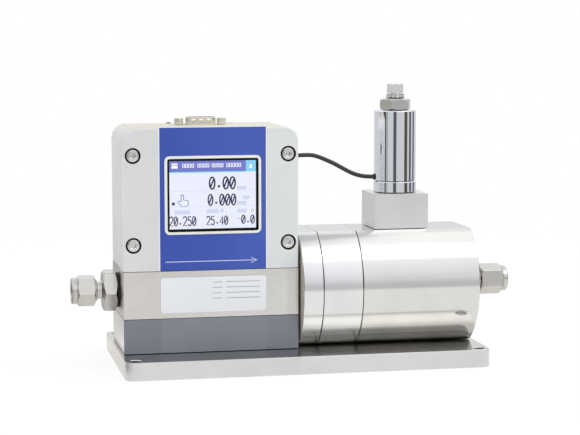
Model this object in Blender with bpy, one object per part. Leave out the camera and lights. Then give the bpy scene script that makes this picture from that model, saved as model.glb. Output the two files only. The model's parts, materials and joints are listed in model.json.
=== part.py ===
"""A bench mass flow controller: a Coriolis meter with a display and a round control valve on one plate.

Units are metres, +Z is up and -Y is the front. The origin is the centre of the base plate's underside.
The fluid enters on the left (-X), and its path follows one axis through the meter and the valve.
"""
import math

import bmesh
import bpy
from mathutils import Matrix, Vector

MM = 0.001

# Gap between two pieces that touch
CLEARANCE = 0.3 * MM

# Sides of round pieces: large outer ones, hardware, inner pieces, small holes, rings' sections, wires
FINE_SIDES = 32
SIDES = 18
INNER_SIDES = 14
SMALL_SIDES = 8
RING_SIDES = 6
WIRE_SIDES = 5
# Steps round each corner of the flow tubes and each side of the round valve
LOOP_CORNER_STEPS = 5
VALVE_ARC_STEPS = 14
# Edges sharper than this aren't shaded smooth, and those sharper than the next are rounded
SMOOTH_ANGLE = math.radians(35.0)
SOFTENED_ANGLE = math.radians(40.0)

# Base plate
PLATE_LENGTH = 210.6 * MM
PLATE_WIDTH = 106.0 * MM
PLATE_THICKNESS = 10.2 * MM
PLATE_CORNER_RADIUS = 5.0 * MM
PLATE_EDGE = 0.6 * MM
FOOT_HOLE_RADIUS = 3.2 * MM
FOOT_HOLE_INSET = 5.9 * MM

# Meter: a lower block, the manifold and the electronics housing, one on the other
METER_MARGIN = 2.0 * MM
METER_WIDTH = 100.6 * MM
METER_DEPTH = 55.2 * MM
LOWER_BLOCK_HEIGHT = 19.8 * MM
MANIFOLD_HEIGHT = 27.1 * MM
HOUSING_HEIGHT = 80.8 * MM
BLOCK_EDGE = 0.3 * MM

# Electronics housing and its front panel
HOUSING_WALL = 3.0 * MM
HOUSING_CORNER_RADIUS = 8.0 * MM
HOUSING_EDGE = 0.8 * MM
PANEL_THICKNESS = 8.0 * MM

# Cover screws, M4 socket cap, and the housing's columns that they screw into
COVER_SCREW_INSET_X = 5.9 * MM
COVER_SCREW_INSET_Z = 15.1 * MM
COVER_SCREW_HEAD_RADIUS = 3.5 * MM
COVER_SCREW_HEAD_HEIGHT = 4.0 * MM
COVER_SCREW_SHANK_RADIUS = 2.0 * MM
COVER_SCREW_LENGTH = 12.0 * MM
COVER_SCREW_SOCKET = 3.0 * MM
COUNTERBORE_GAP = 0.75 * MM
COUNTERBORE_RADIUS = COVER_SCREW_HEAD_RADIUS + COUNTERBORE_GAP
HEAD_SINK = 0.5 * MM
COUNTERBORE_DEPTH = COVER_SCREW_HEAD_HEIGHT + HEAD_SINK
COLUMN_SKIN = 0.4 * MM
COLUMN_RADIUS = COVER_SCREW_INSET_X - COLUMN_SKIN
COLUMN_LENGTH = 12.0 * MM

# Front film, with the display in a window of it
FILM_OFFSET = 1.0 * MM
FILM_MARGIN = 3.1 * MM
FILM_THICKNESS = 0.5 * MM
DISPLAY_RISE = 43.0 * MM
DISPLAY_WIDTH = 54.6 * MM
FILM_WIDTH = DISPLAY_WIDTH + 2 * FILM_MARGIN
DISPLAY_HEIGHT = 43.8 * MM
BEZEL_CORNER_RADIUS = 2.6 * MM
BEZEL_LIP = 1.2 * MM
BEZEL_PROUD = 0.5 * MM
BEZEL_FLANGE_WIDTH = 2.0 * MM
BEZEL_FLANGE_THICKNESS = 1.2 * MM
POCKET_DEPTH = 4.0 * MM
GLASS_RECESS = 0.6 * MM
GLASS_THICKNESS = 1.5 * MM
BOARD_SIDE_GAP = 1.9 * MM
BOARD_TOP_GAP = 2.8 * MM
BOARD_BASE_RISE = 11.0 * MM
BOARD_THICKNESS = 1.6 * MM

# White rating label on the manifold's front
LABEL_WIDTH = 60.7 * MM
LABEL_HEIGHT = 20.2 * MM
LABEL_CORNER_RADIUS = 1.5 * MM
LABEL_THICKNESS = 0.3 * MM

# Nine-pin connector on the housing's top
CONNECTOR_OFFSET_X = -1.1 * MM
CONNECTOR_Y = 5.6 * MM
CONNECTOR_WIDTH = 16.9 * MM
CONNECTOR_DEPTH = 8.3 * MM
CONNECTOR_CORNER_RADIUS = 2.2 * MM
CONNECTOR_SLOPE = math.radians(10.0)
CONNECTOR_RISE = 5.7 * MM
CONNECTOR_SHEET = 0.5 * MM
CONNECTOR_FLANGE_DEPTH = 12.5 * MM
CONNECTOR_FLANGE_THICKNESS = 1.0 * MM
CONNECTOR_FLANGE_CORNER = 1.5 * MM
PIN_RADIUS = 0.5 * MM
PIN_PITCH = 2.77 * MM
PIN_ROW_PITCH = 2.84 * MM
PIN_HEIGHT = 5.0 * MM
INSERT_DEPTH = 4.0 * MM
JACKSCREW_SPACING = 25.0 * MM
CONNECTOR_FLANGE_MARGIN = 2.9 * MM
CONNECTOR_FLANGE_WIDTH = JACKSCREW_SPACING + 2 * CONNECTOR_FLANGE_MARGIN
JACKSCREW_ACROSS_FLATS = 5.0 * MM
JACKSCREW_HEIGHT = 4.8 * MM
JACKSCREW_SHANK_RADIUS = 1.4 * MM

# Flow tubes and what senses them
TUBE_RADIUS = 2.0 * MM
TUBE_BORE_RADIUS = 1.6 * MM
TUBE_SPACING = 9.0 * MM
LOOP_WIDTH = 60.0 * MM
LOOP_HEIGHT = 51.0 * MM
LOOP_CORNER_RADIUS = 14.0 * MM
LOOP_END_RISE = 6.0 * MM
BRACE_RISE = 14.0 * MM
BRACE_THICKNESS = 1.5 * MM
BRACE_WIDTH = 9.0 * MM
BRACE_MARGIN = 2.5 * MM
DRIVE_COIL_RADIUS = 4.5 * MM
DRIVE_MAGNET_RADIUS = 2.2 * MM
PICKOFF_COIL_RADIUS = 3.4 * MM
PICKOFF_MAGNET_RADIUS = 1.5 * MM
PICKOFF_RISE = 5.5 * MM
COIL_GAP = 0.4 * MM
SENSOR_RADIUS = 1.3 * MM
SENSOR_LENGTH = 10.0 * MM

# Compression fittings for an 8 mm tube
PORT_RADIUS = 6.6 * MM
SHANK_LENGTH = 12.0 * MM
FLOW_BORE_RADIUS = 3.0 * MM
FITTING_TUBE_RADIUS = 4.1 * MM
FITTING_THREAD_WALL = 2.25 * MM
FITTING_THREAD_RADIUS = FITTING_TUBE_RADIUS + FITTING_THREAD_WALL
FITTING_NECK_WALL = 1.0 * MM
FITTING_NECK_RADIUS = FITTING_TUBE_RADIUS + FITTING_NECK_WALL
NUT_WALL = 1.65 * MM
NUT_ACROSS_FLATS = 2 * (FITTING_THREAD_RADIUS + NUT_WALL)
NUT_LENGTH = 13.5 * MM
NUT_COLLAR_FALL = 0.35 * MM
NUT_COLLAR_RADIUS = NUT_ACROSS_FLATS / 2 - NUT_COLLAR_FALL
NUT_COLLAR_LENGTH = 3.3 * MM
NUT_LIP = 2.6 * MM
NUT_THREAD_LENGTH = 8.0 * MM
FERRULE_LENGTH = 3.2 * MM
FERRULE_PARALLEL = 1.6 * MM
FERRULE_WALL = 1.5 * MM
FERRULE_RADIUS = FITTING_TUBE_RADIUS + FERRULE_WALL
FERRULE_NOSE_WALL = 0.22 * MM
FERRULE_NOSE_RADIUS = FITTING_TUBE_RADIUS + FERRULE_NOSE_WALL
FERRULE_SLOPE = (FERRULE_RADIUS - FERRULE_NOSE_RADIUS) / (FERRULE_LENGTH - FERRULE_PARALLEL)
INLET_REACH = 27.0 * MM
INLET_HEX_ACROSS_FLATS = 22.0 * MM
INLET_HEX_LENGTH = 8.1 * MM
INLET_NUT_TURN = math.radians(22.0)
INLET_HEX_TURN = math.radians(27.0)
SEAL_SPACE = 1.2 * MM
SEAL_RADIUS = 10.2 * MM
OUTLET_REACH = 27.3 * MM
OUTLET_HEX_ACROSS_FLATS = 14.0 * MM
OUTLET_HEX_LENGTH = 4.7 * MM

# Round valve: three sections with a flat on the top and one that rests on the plate
LINK_GAP = 1.4 * MM
VALVE_RADIUS = 37.5 * MM
INLET_FLANGE_LENGTH = 11.7 * MM
FILTER_SECTION_LENGTH = 23.2 * MM
VALVE_BODY_LENGTH = 69.4 * MM
VALVE_EDGE = 0.35 * MM
LINK_DEPTH = 8.5 * MM
VALVE_BORE_RADIUS = 4.0 * MM
TIE_BOLT_INSET = 6.5 * MM
TIE_BOLT_CIRCLE = VALVE_RADIUS - TIE_BOLT_INSET
O_RING_INSET = 5.8 * MM
O_RING_RADIUS = TIE_BOLT_CIRCLE - O_RING_INSET
O_RING_SECTION = 1.0 * MM
CHAMBER_INSET = 3.2 * MM
CHAMBER_RADIUS = O_RING_RADIUS - CHAMBER_INSET
CHAMBER_WALL = 2.4 * MM
FILTER_RADIUS = 14.0 * MM
FILTER_WALL = 2.5 * MM
FILTER_END_GAP = 7.1 * MM
FILTER_SEAT_DEPTH = 2.5 * MM
TIE_BOLT_HEAD_RADIUS = 4.25 * MM
TIE_BOLT_HEAD_HEIGHT = 5.0 * MM
TIE_BOLT_SHANK_RADIUS = 2.5 * MM
TIE_BOLT_ENGAGEMENT = 8.0 * MM
TIE_BOLT_SOCKET = 4.0 * MM

# Pilot block and solenoid
PILOT_SETBACK = 41.6 * MM
PILOT_BLOCK_SIZE = 32.0 * MM
PILOT_BLOCK_HEIGHT = 20.3 * MM
PILOT_CAVITY_RADIUS = 10.0 * MM
PILOT_CAVITY_DEPTH = 9.1 * MM
RISER_RADIUS = 2.0 * MM
RISER_OFFSET = 7.6 * MM
SEAT_RADIUS = 4.0 * MM
SEAT_FLANGE_RADIUS = 5.2 * MM
SEAT_FLANGE_THICKNESS = 1.5 * MM
SEAT_NOSE_RADIUS = 2.2 * MM
SEAT_NOSE_HEIGHT = 1.2 * MM
SEAT_ORIFICE_RADIUS = 1.0 * MM
SOLENOID_RING_RADIUS = 12.6 * MM
SOLENOID_RING_HEIGHT = 6.3 * MM
CASE_RADIUS = 12.3 * MM
CASE_HEIGHT = 41.3 * MM
CASE_WALL = 1.2 * MM
CORE_FLANGE_HEIGHT = 3.0 * MM
CORE_RADIUS = 5.3 * MM
STUD_RADIUS = 4.0 * MM
PLUNGER_RADIUS = 4.0 * MM
PLUNGER_LENGTH = 31.0 * MM
PLUNGER_STROKE = 1.0 * MM
SPRING_RADIUS = 2.0 * MM
SPRING_WIRE_RADIUS = 0.3 * MM
SPRING_LENGTH = 7.0 * MM
SPRING_TURNS = 5
SPRING_STEPS = 8
SOLENOID_NUT_ACROSS_FLATS = 16.5 * MM
SOLENOID_NUT_HEIGHT = 6.5 * MM
SOLENOID_NUT_TURN = math.radians(12.0)
VENT_COLLAR_RADIUS = 5.4 * MM
VENT_COLLAR_HEIGHT = 3.1 * MM
VENT_HEX_ACROSS_FLATS = 8.4 * MM
VENT_HEX_HEIGHT = 5.4 * MM
VENT_SHANK_RADIUS = 2.0 * MM
VENT_SHANK_LENGTH = 4.0 * MM

# Cable from the housing to the solenoid
CABLE_RADIUS = 1.25 * MM
CABLE_EXIT_DROP = 18.4 * MM
CABLE_ENTRY_RISE = 2.2 * MM
GLAND_FLANGE_RADIUS = 3.6 * MM
GLAND_FLANGE_THICKNESS = 1.6 * MM
GLAND_SLEEVE_RADIUS = 2.6 * MM

# How far a cutter runs past the surface that it opens
OVERCUT = 1.0 * MM
# A hexagon: tan of the chamfer, the chamfer's circle as a share of the flats, and its blunted corners
CHAMFER = math.tan(math.radians(30.0))
CHAMFER_CIRCLE = 0.96
HEX_CORNER = 1.0 / math.cos(math.radians(30.0))
CORNER_BLUNTING = 0.985

# Places that follow from the sizes
PLATE_TOP = PLATE_THICKNESS
MANIFOLD_BASE = PLATE_TOP + LOWER_BLOCK_HEIGHT
HOUSING_BASE = MANIFOLD_BASE + MANIFOLD_HEIGHT
METER_TOP = HOUSING_BASE + HOUSING_HEIGHT
AXIS_Z = MANIFOLD_BASE + MANIFOLD_HEIGHT / 2
METER_LEFT = -PLATE_LENGTH / 2 + METER_MARGIN
METER_RIGHT = METER_LEFT + METER_WIDTH
METER_X = METER_LEFT + METER_WIDTH / 2
METER_FRONT = -METER_DEPTH / 2
METER_BACK = METER_DEPTH / 2
CABLE_EXIT_HEIGHT = METER_TOP - CABLE_EXIT_DROP
FILM_X = METER_X + FILM_OFFSET
DISPLAY_Z = HOUSING_BASE + DISPLAY_RISE
PORT_HOLE_RADIUS = PORT_RADIUS + CLEARANCE
PORT_DEPTH = (METER_WIDTH - LOOP_WIDTH) / 2 + TUBE_RADIUS + CLEARANCE + OVERCUT

VALVE_LEFT = METER_RIGHT + LINK_GAP
FILTER_SECTION_LEFT = VALVE_LEFT + INLET_FLANGE_LENGTH
VALVE_BODY_LEFT = FILTER_SECTION_LEFT + FILTER_SECTION_LENGTH
VALVE_RIGHT = VALVE_BODY_LEFT + VALVE_BODY_LENGTH
VALVE_FLAT = AXIS_Z - PLATE_TOP - CLEARANCE
VALVE_TOP = AXIS_Z + VALVE_FLAT

PILOT_X = VALVE_RIGHT - PILOT_SETBACK
PILOT_BASE = VALVE_TOP + CLEARANCE
PILOT_TOP = PILOT_BASE + PILOT_BLOCK_HEIGHT
CAVITY_FLOOR = PILOT_TOP - PILOT_CAVITY_DEPTH
RING_BASE = PILOT_TOP + CLEARANCE
CASE_BASE = RING_BASE + SOLENOID_RING_HEIGHT + CLEARANCE
CASE_TOP = CASE_BASE + CASE_HEIGHT
NUT_BASE = CASE_TOP + CLEARANCE
NUT_TOP = NUT_BASE + SOLENOID_NUT_HEIGHT
VENT_BASE = NUT_TOP + CLEARANCE
SEAT_TOP = CAVITY_FLOOR + CLEARANCE + SEAT_FLANGE_THICKNESS + SEAT_NOSE_HEIGHT
PLUNGER_BASE = SEAT_TOP + CLEARANCE
PLUNGER_TOP = PLUNGER_BASE + PLUNGER_LENGTH
SPRING_BASE = PLUNGER_TOP + CLEARANCE
CORE_STOP = PLUNGER_TOP + PLUNGER_STROKE + CLEARANCE
SPRING_TOP = SPRING_BASE + SPRING_LENGTH
CABLE_ENTRY_Z = CASE_BASE + CABLE_ENTRY_RISE

# Rotations that point an object's own +Z in a direction
FACING = {
    "up": (0, 0, 0),
    "front": (math.pi / 2, 0, 0),
    "back": (-math.pi / 2, 0, 0),
    "right": (0, math.pi / 2, 0),
    "left": (0, -math.pi / 2, 0),
}

# Colour, roughness and metallic value of each finish
FINISHES = {
    "bright_steel": ((0.78, 0.78, 0.77), 0.16, 1.0),
    "turned_steel": ((0.74, 0.74, 0.73), 0.28, 1.0),
    "brushed_steel": ((0.66, 0.65, 0.63), 0.38, 1.0),
    "chrome": ((0.80, 0.80, 0.82), 0.06, 1.0),
    "dark_paint": ((0.19, 0.20, 0.24), 0.35, 0.0),
    "light_paint": ((0.66, 0.67, 0.68), 0.55, 0.0),
    "blue_film": ((0.06, 0.10, 0.43), 0.40, 0.0),
    "white_film": ((0.85, 0.86, 0.88), 0.45, 0.0),
    "glass": ((0.02, 0.02, 0.03), 0.05, 0.0),
    "screen": ((0.75, 0.76, 0.95), 0.30, 0.0),
    "board": ((0.02, 0.20, 0.08), 0.50, 0.0),
    "tinned": ((0.72, 0.69, 0.60), 0.25, 1.0),
    "black_plastic": ((0.03, 0.03, 0.03), 0.50, 0.0),
    "white_plastic": ((0.80, 0.80, 0.76), 0.45, 0.0),
    "black_rubber": ((0.02, 0.02, 0.02), 0.60, 0.0),
    "cable": ((0.05, 0.05, 0.06), 0.50, 0.0),
    "copper": ((0.72, 0.36, 0.18), 0.35, 1.0),
    "magnet": ((0.50, 0.50, 0.52), 0.30, 1.0),
    "sintered": ((0.45, 0.43, 0.40), 0.80, 1.0),
}


def finish(obj, name):
    """Give an object its own Principled material from the table of finishes."""
    colour, roughness, metallic = FINISHES[name]
    material = bpy.data.materials.new(obj.name + "_finish")
    material.use_nodes = True
    shader = material.node_tree.nodes["Principled BSDF"]
    shader.inputs["Base Color"].default_value = (*colour, 1.0)
    shader.inputs["Roughness"].default_value = roughness
    shader.inputs["Metallic"].default_value = metallic
    material.diffuse_color = (*colour, 1.0)
    obj.data.materials.append(material)
    return obj


def new_object(name, bm, location, facing):
    """Close a bmesh into an object, with smooth shading on its round faces."""
    bmesh.ops.recalc_face_normals(bm, faces=bm.faces[:])
    mesh = bpy.data.meshes.new(name)
    bm.to_mesh(mesh)
    bm.free()
    mesh.shade_smooth()
    mesh.set_sharp_from_angle(angle=SMOOTH_ANGLE)
    obj = bpy.data.objects.new(name, mesh)
    obj.location = location
    obj.rotation_euler = FACING[facing]
    bpy.context.scene.collection.objects.link(obj)
    return obj


def turned(name, profile, location, facing="up", sides=SIDES):
    """Spin a profile of (height, radius) points round the object's own Z."""
    bm = bmesh.new()
    verts = [bm.verts.new((radius, 0, height)) for height, radius in profile]
    edges = [bm.edges.new(pair) for pair in zip(verts, verts[1:] + verts[:1])
             if pair[0].co.x > 0 or pair[1].co.x > 0]
    bmesh.ops.spin(bm, geom=verts + edges, cent=(0, 0, 0), axis=(0, 0, 1), angle=2 * math.pi,
                   steps=sides, use_merge=True)
    bmesh.ops.remove_doubles(bm, verts=bm.verts[:], dist=1e-7)
    return new_object(name, bm, location, facing)


def prism(name, outline, bottom, top, location=(0, 0, 0), facing="up"):
    """Extrude a flat outline along the object's own Z."""
    bm = bmesh.new()
    lower = bm.faces.new([bm.verts.new((x, y, bottom)) for x, y in outline])
    extruded = bmesh.ops.extrude_face_region(bm, geom=[lower], use_keep_orig=True)
    raised = [item for item in extruded["geom"] if isinstance(item, bmesh.types.BMVert)]
    bmesh.ops.translate(bm, vec=(0, 0, top - bottom), verts=raised)
    return new_object(name, bm, location, facing)


def swept(name, path, reference, outer_radius, inner_radius=0.0, sides=SMALL_SIDES, location=(0, 0, 0)):
    """Sweep a round section, solid or hollow, along a path of points."""
    radii = [outer_radius, inner_radius] if inner_radius else [outer_radius]
    angles = [2 * math.pi * step / sides for step in range(sides)]
    bm = bmesh.new()
    stations = []
    for index, point in enumerate(path):
        before = path[max(index - 1, 0)]
        after = path[min(index + 1, len(path) - 1)]
        tangent = (after - before).normalized()
        side = reference.cross(tangent).normalized()
        up = tangent.cross(side)
        stations.append([[bm.verts.new(point + radius * (math.cos(a) * side + math.sin(a) * up))
                          for a in angles] for radius in radii])
    neighbours = [(step, (step + 1) % sides) for step in range(sides)]
    for here, there in zip(stations, stations[1:]):
        for ring, next_ring in zip(here, there):
            for a, b in neighbours:
                bm.faces.new((ring[a], ring[b], next_ring[b], next_ring[a]))
    for rings in (stations[0], stations[-1]):
        if len(rings) == 1:
            bm.faces.new(rings[0])
            continue
        for a, b in neighbours:
            bm.faces.new((rings[0][a], rings[0][b], rings[1][b], rings[1][a]))
    return new_object(name, bm, location, "up")


def rounded_polygon(corners, radii, steps=5):
    """Return an outline, counter-clockwise, with each corner rounded by its own radius."""
    points = []
    count = len(corners)
    for index, radius in enumerate(radii):
        here = Vector(corners[index])
        if radius <= 0:
            points.append(tuple(here))
            continue
        to_last = (Vector(corners[index - 1]) - here).normalized()
        to_next = (Vector(corners[(index + 1) % count]) - here).normalized()
        half = to_last.angle(to_next) / 2
        centre = here + (to_last + to_next).normalized() * radius / math.sin(half)
        start = here + to_last * radius / math.tan(half) - centre
        for step in range(steps + 1):
            turn = Matrix.Rotation((math.pi - 2 * half) * step / steps, 2)
            points.append(tuple(centre + turn @ start))
    return points


def rectangle(width, height, radius=0.0, grow=0.0, steps=3):
    """A centred rectangle with equal corners, all of it grown outwards by one amount."""
    x = width / 2 + grow
    y = height / 2 + grow
    corner = max(radius + grow, 0.0) if radius else 0.0
    return rounded_polygon([(-x, -y), (x, -y), (x, y), (-x, y)], [corner] * 4, steps)


def housing_outline(grow=0.0):
    """The meter's front outline above the manifold, square below and round above."""
    x = METER_WIDTH / 2 + grow
    bottom = CLEARANCE - grow
    top = HOUSING_HEIGHT + grow
    corner = HOUSING_CORNER_RADIUS + grow
    return rounded_polygon([(-x, bottom), (x, bottom), (x, top), (-x, top)], [0, 0, corner, corner])


def connector_outline(grow=0.0):
    """The D of a nine-pin connector, long side at the back."""
    y = CONNECTOR_DEPTH / 2 + grow
    wide = CONNECTOR_WIDTH / 2 + grow
    narrow = wide - 2 * y * math.tan(CONNECTOR_SLOPE)
    corner = CONNECTOR_CORNER_RADIUS + grow
    return rounded_polygon([(-narrow, -y), (narrow, -y), (wide, y), (-wide, y)], [corner] * 4, 3)


def flatted_circle(radius, flat):
    """A circle cut by two parallel flats, at -X and +X of the outline."""
    limit = math.asin(flat / radius)
    right_side = [-limit + 2 * limit * step / VALVE_ARC_STEPS for step in range(VALVE_ARC_STEPS + 1)]
    angles = [math.pi / 2 - angle for angle in right_side] + [-math.pi / 2 - angle for angle in right_side]
    return [(radius * math.cos(angle), radius * math.sin(angle)) for angle in reversed(angles)]


def hexagon(across_flats, turn=0.0):
    corner = across_flats / 2 * HEX_CORNER
    angles = [turn + math.radians(60.0 * step) for step in range(6)]
    return [(corner * math.cos(angle), corner * math.sin(angle)) for angle in angles]


def hexagon_profile(low, high, across_flats, chamfer_low=True, chamfer_high=True):
    """Profile points of a hexagon's outer surface, with its corners chamfered at 30 degrees."""
    flat = across_flats / 2 * CHAMFER_CIRCLE
    corner = across_flats / 2 * HEX_CORNER * CORNER_BLUNTING
    fall = (corner - flat) * CHAMFER
    start = [(low, flat), (low + fall, corner)] if chamfer_low else [(low, corner)]
    end = [(high - fall, corner), (high, flat)] if chamfer_high else [(high, corner)]
    return start + end


def modifier_with(target, other, operation):
    """Combine two objects with an exact Boolean, and keep the second one out of the model."""
    other.hide_render = True
    other.display_type = "WIRE"
    modifier = target.modifiers.new(other.name, "BOOLEAN")
    modifier.operation = operation
    modifier.solver = "EXACT"
    modifier.object = other


def cut(target, *cutters):
    for cutter in cutters:
        modifier_with(target, cutter, "DIFFERENCE")


def join(target, *additions):
    for addition in additions:
        modifier_with(target, addition, "UNION")


def drill(target, mouth, facing, radius, depth, sides=INNER_SIDES):
    """Cut a round hole inwards from its mouth, against the way it faces."""
    profile = [(-depth, 0), (-depth, radius), (OVERCUT, radius), (OVERCUT, 0)]
    cut(target, turned("cut_hole", profile, mouth, facing, sides))


def counterbore(target, mouth, facing, radius, depth, hole_radius, hole_depth, sides=SIDES):
    """Cut a screw's hole, with the wider and shallower hole for its head, as one stepped hole."""
    profile = [(-hole_depth, 0), (-hole_depth, hole_radius), (-depth, hole_radius), (-depth, radius),
               (OVERCUT, radius), (OVERCUT, 0)]
    cut(target, turned("cut_counterbore", profile, mouth, facing, sides))


def cut_flats(target, across_flats, low, high, turn=0.0):
    """Cut six flats on a turned piece between two heights of its own axis."""
    reach = across_flats * 2
    ring = prism("cut_flats", hexagon(reach, turn), low, high, target.location)
    bore = prism("cut_flats_bore", hexagon(across_flats, turn), low - OVERCUT, high + OVERCUT, target.location)
    ring.rotation_euler = target.rotation_euler
    bore.rotation_euler = target.rotation_euler
    cut(ring, bore)
    cut(target, ring)


def soften(obj, width, segments=2):
    """Round an object's sharp edges."""
    bevel = obj.modifiers.new("soften", "BEVEL")
    bevel.width = width
    bevel.segments = segments
    bevel.limit_method = "ANGLE"
    bevel.angle_limit = SOFTENED_ANGLE


def soften_end(obj, height, width):
    """Round only the edges round an extruded piece's end face at one height."""
    bm = bmesh.new()
    bm.from_mesh(obj.data)
    edges = [edge for edge in bm.edges if all(abs(vert.co.z - height) < 1e-6 for vert in edge.verts)]
    bmesh.ops.bevel(bm, geom=edges, offset=width, segments=2, profile=0.5, affect="EDGES")
    bm.to_mesh(obj.data)
    bm.free()


def cap_screw(name, location, facing, head_radius, head_height, shank_radius, length, socket, sides):
    """A socket cap screw with its head's underside at the location."""
    edge = head_height / 12
    profile = [(-length, 0), (-length, shank_radius), (0, shank_radius), (0, head_radius),
               (head_height - edge, head_radius), (head_height, head_radius - edge), (head_height, 0)]
    screw = turned(name, profile, location, facing, sides)
    key = prism("cut_socket", hexagon(socket), head_height / 2, head_height + OVERCUT, location, facing)
    cut(screw, key)
    finish(screw, "turned_steel")


def base_plate():
    outline = rectangle(PLATE_LENGTH, PLATE_WIDTH, PLATE_CORNER_RADIUS, steps=5)
    plate = prism("base_plate", outline, 0, PLATE_THICKNESS)
    soften(plate, PLATE_EDGE)
    x = PLATE_LENGTH / 2 - FOOT_HOLE_INSET
    y = PLATE_WIDTH / 2 - FOOT_HOLE_INSET
    for hole_x in (-x, x):
        for hole_y in (-y, y):
            drill(plate, (hole_x, hole_y, PLATE_TOP), "up", FOOT_HOLE_RADIUS, PLATE_THICKNESS + OVERCUT, SIDES)
    finish(plate, "bright_steel")


def meter_blocks():
    """The lower block, and the manifold that joins the ports to the flow tubes."""
    footprint = rectangle(METER_WIDTH, METER_DEPTH)
    lower = prism("lower_block", footprint, PLATE_TOP + CLEARANCE, MANIFOLD_BASE, (METER_X, 0, 0))
    soften(lower, BLOCK_EDGE, 1)
    finish(lower, "dark_paint")
    manifold = prism("manifold_block", footprint, MANIFOLD_BASE + CLEARANCE, HOUSING_BASE, (METER_X, 0, 0))
    soften(manifold, BLOCK_EDGE, 1)
    drill(manifold, (METER_LEFT, 0, AXIS_Z), "left", PORT_HOLE_RADIUS, PORT_DEPTH)
    drill(manifold, (METER_RIGHT, 0, AXIS_Z), "right", PORT_HOLE_RADIUS, PORT_DEPTH)
    for x in (METER_X - LOOP_WIDTH / 2, METER_X + LOOP_WIDTH / 2):
        for y in (-TUBE_SPACING / 2, TUBE_SPACING / 2):
            drill(manifold, (x, y, HOUSING_BASE), "up", TUBE_RADIUS + CLEARANCE, MANIFOLD_HEIGHT / 2, SMALL_SIDES)
    finish(manifold, "brushed_steel")
    label = prism("rating_label", rectangle(LABEL_WIDTH, LABEL_HEIGHT, LABEL_CORNER_RADIUS),
                  CLEARANCE, CLEARANCE + LABEL_THICKNESS, (FILM_X, METER_FRONT, AXIS_Z), "front")
    finish(label, "white_film")


def cover_screw_places():
    """Centres of the cover screws, across and up from the housing's base."""
    x = METER_WIDTH / 2 - COVER_SCREW_INSET_X
    heights = (COVER_SCREW_INSET_Z, HOUSING_HEIGHT - COVER_SCREW_INSET_Z)
    return [(side * x, height) for height in heights for side in (-1, 1)]


def front_panel():
    """The thick plate that carries the display, with a shallow channel for the film."""
    place = (METER_X, METER_FRONT, HOUSING_BASE)
    panel = prism("front_panel", housing_outline(), -PANEL_THICKNESS, 0, place, "front")
    soften_end(panel, 0, HOUSING_EDGE)
    channel = prism("cut_channel", rectangle(FILM_WIDTH, 2 * METER_TOP, grow=CLEARANCE),
                    -FILM_THICKNESS - CLEARANCE, OVERCUT, (FILM_X, METER_FRONT, HOUSING_BASE), "front")
    display = (FILM_X, METER_FRONT, DISPLAY_Z)
    window = prism("cut_window", rectangle(DISPLAY_WIDTH, DISPLAY_HEIGHT, BEZEL_CORNER_RADIUS, CLEARANCE),
                   -PANEL_THICKNESS - OVERCUT, OVERCUT, display, "front")
    pocket = prism("cut_pocket", rectangle(DISPLAY_WIDTH, DISPLAY_HEIGHT, BEZEL_CORNER_RADIUS,
                                           BEZEL_FLANGE_WIDTH + CLEARANCE),
                   -PANEL_THICKNESS - OVERCUT, POCKET_DEPTH - PANEL_THICKNESS, display, "front")
    cut(panel, channel, window, pocket)
    for x, z in cover_screw_places():
        mouth = (METER_X + x, METER_FRONT, HOUSING_BASE + z)
        counterbore(panel, mouth, "front", COUNTERBORE_RADIUS, COUNTERBORE_DEPTH,
                    COVER_SCREW_SHANK_RADIUS + CLEARANCE, PANEL_THICKNESS + OVERCUT)
    finish(panel, "light_paint")


def electronics_housing():
    """The box behind the front panel, open in front and over the manifold."""
    place = (METER_X, METER_FRONT, HOUSING_BASE)
    front = -PANEL_THICKNESS - CLEARANCE
    housing = prism("electronics_housing", housing_outline(), -METER_DEPTH, front, place, "front")
    soften_end(housing, -METER_DEPTH, HOUSING_EDGE)
    x = METER_WIDTH / 2 - HOUSING_WALL
    corner = HOUSING_CORNER_RADIUS - HOUSING_WALL
    inside = rounded_polygon([(-x, -OVERCUT), (x, -OVERCUT), (x, HOUSING_HEIGHT - HOUSING_WALL),
                              (-x, HOUSING_HEIGHT - HOUSING_WALL)], [0, 0, corner, corner])
    cut(housing, prism("cut_inside", inside, HOUSING_WALL - METER_DEPTH, front + OVERCUT, place, "front"))
    screw_end = front - CLEARANCE
    for x, z in cover_screw_places():
        mouth = (METER_X + x, METER_FRONT, HOUSING_BASE + z)
        column = [(screw_end - COLUMN_LENGTH, 0), (screw_end - COLUMN_LENGTH, COLUMN_RADIUS),
                  (screw_end, COLUMN_RADIUS), (screw_end, 0)]
        join(housing, turned("add_column", column, mouth, "front", INNER_SIDES))
        drill(housing, mouth, "front", COVER_SCREW_SHANK_RADIUS + CLEARANCE,
              COLUMN_LENGTH - screw_end + OVERCUT, SMALL_SIDES)
    top = (METER_X + CONNECTOR_OFFSET_X, CONNECTOR_Y, METER_TOP)
    cut(housing, prism("cut_connector", connector_outline(CLEARANCE), -2 * HOUSING_WALL, OVERCUT, top))
    for side in (-1, 1):
        mouth = (top[0] + side * JACKSCREW_SPACING / 2, CONNECTOR_Y, METER_TOP)
        drill(housing, mouth, "up", JACKSCREW_SHANK_RADIUS + CLEARANCE, HOUSING_WALL + OVERCUT, SMALL_SIDES)
    drill(housing, (METER_RIGHT, 0, CABLE_EXIT_HEIGHT), "right", GLAND_SLEEVE_RADIUS + CLEARANCE,
          HOUSING_WALL + OVERCUT)
    finish(housing, "light_paint")


def cover_screws():
    seat = COUNTERBORE_DEPTH - CLEARANCE
    for number, (x, z) in enumerate(cover_screw_places(), start=1):
        place = (METER_X + x, METER_FRONT + seat, HOUSING_BASE + z)
        cap_screw(f"cover_screw_{number}", place, "front", COVER_SCREW_HEAD_RADIUS, COVER_SCREW_HEAD_HEIGHT,
                  COVER_SCREW_SHANK_RADIUS, COVER_SCREW_LENGTH, COVER_SCREW_SOCKET, SIDES)


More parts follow.
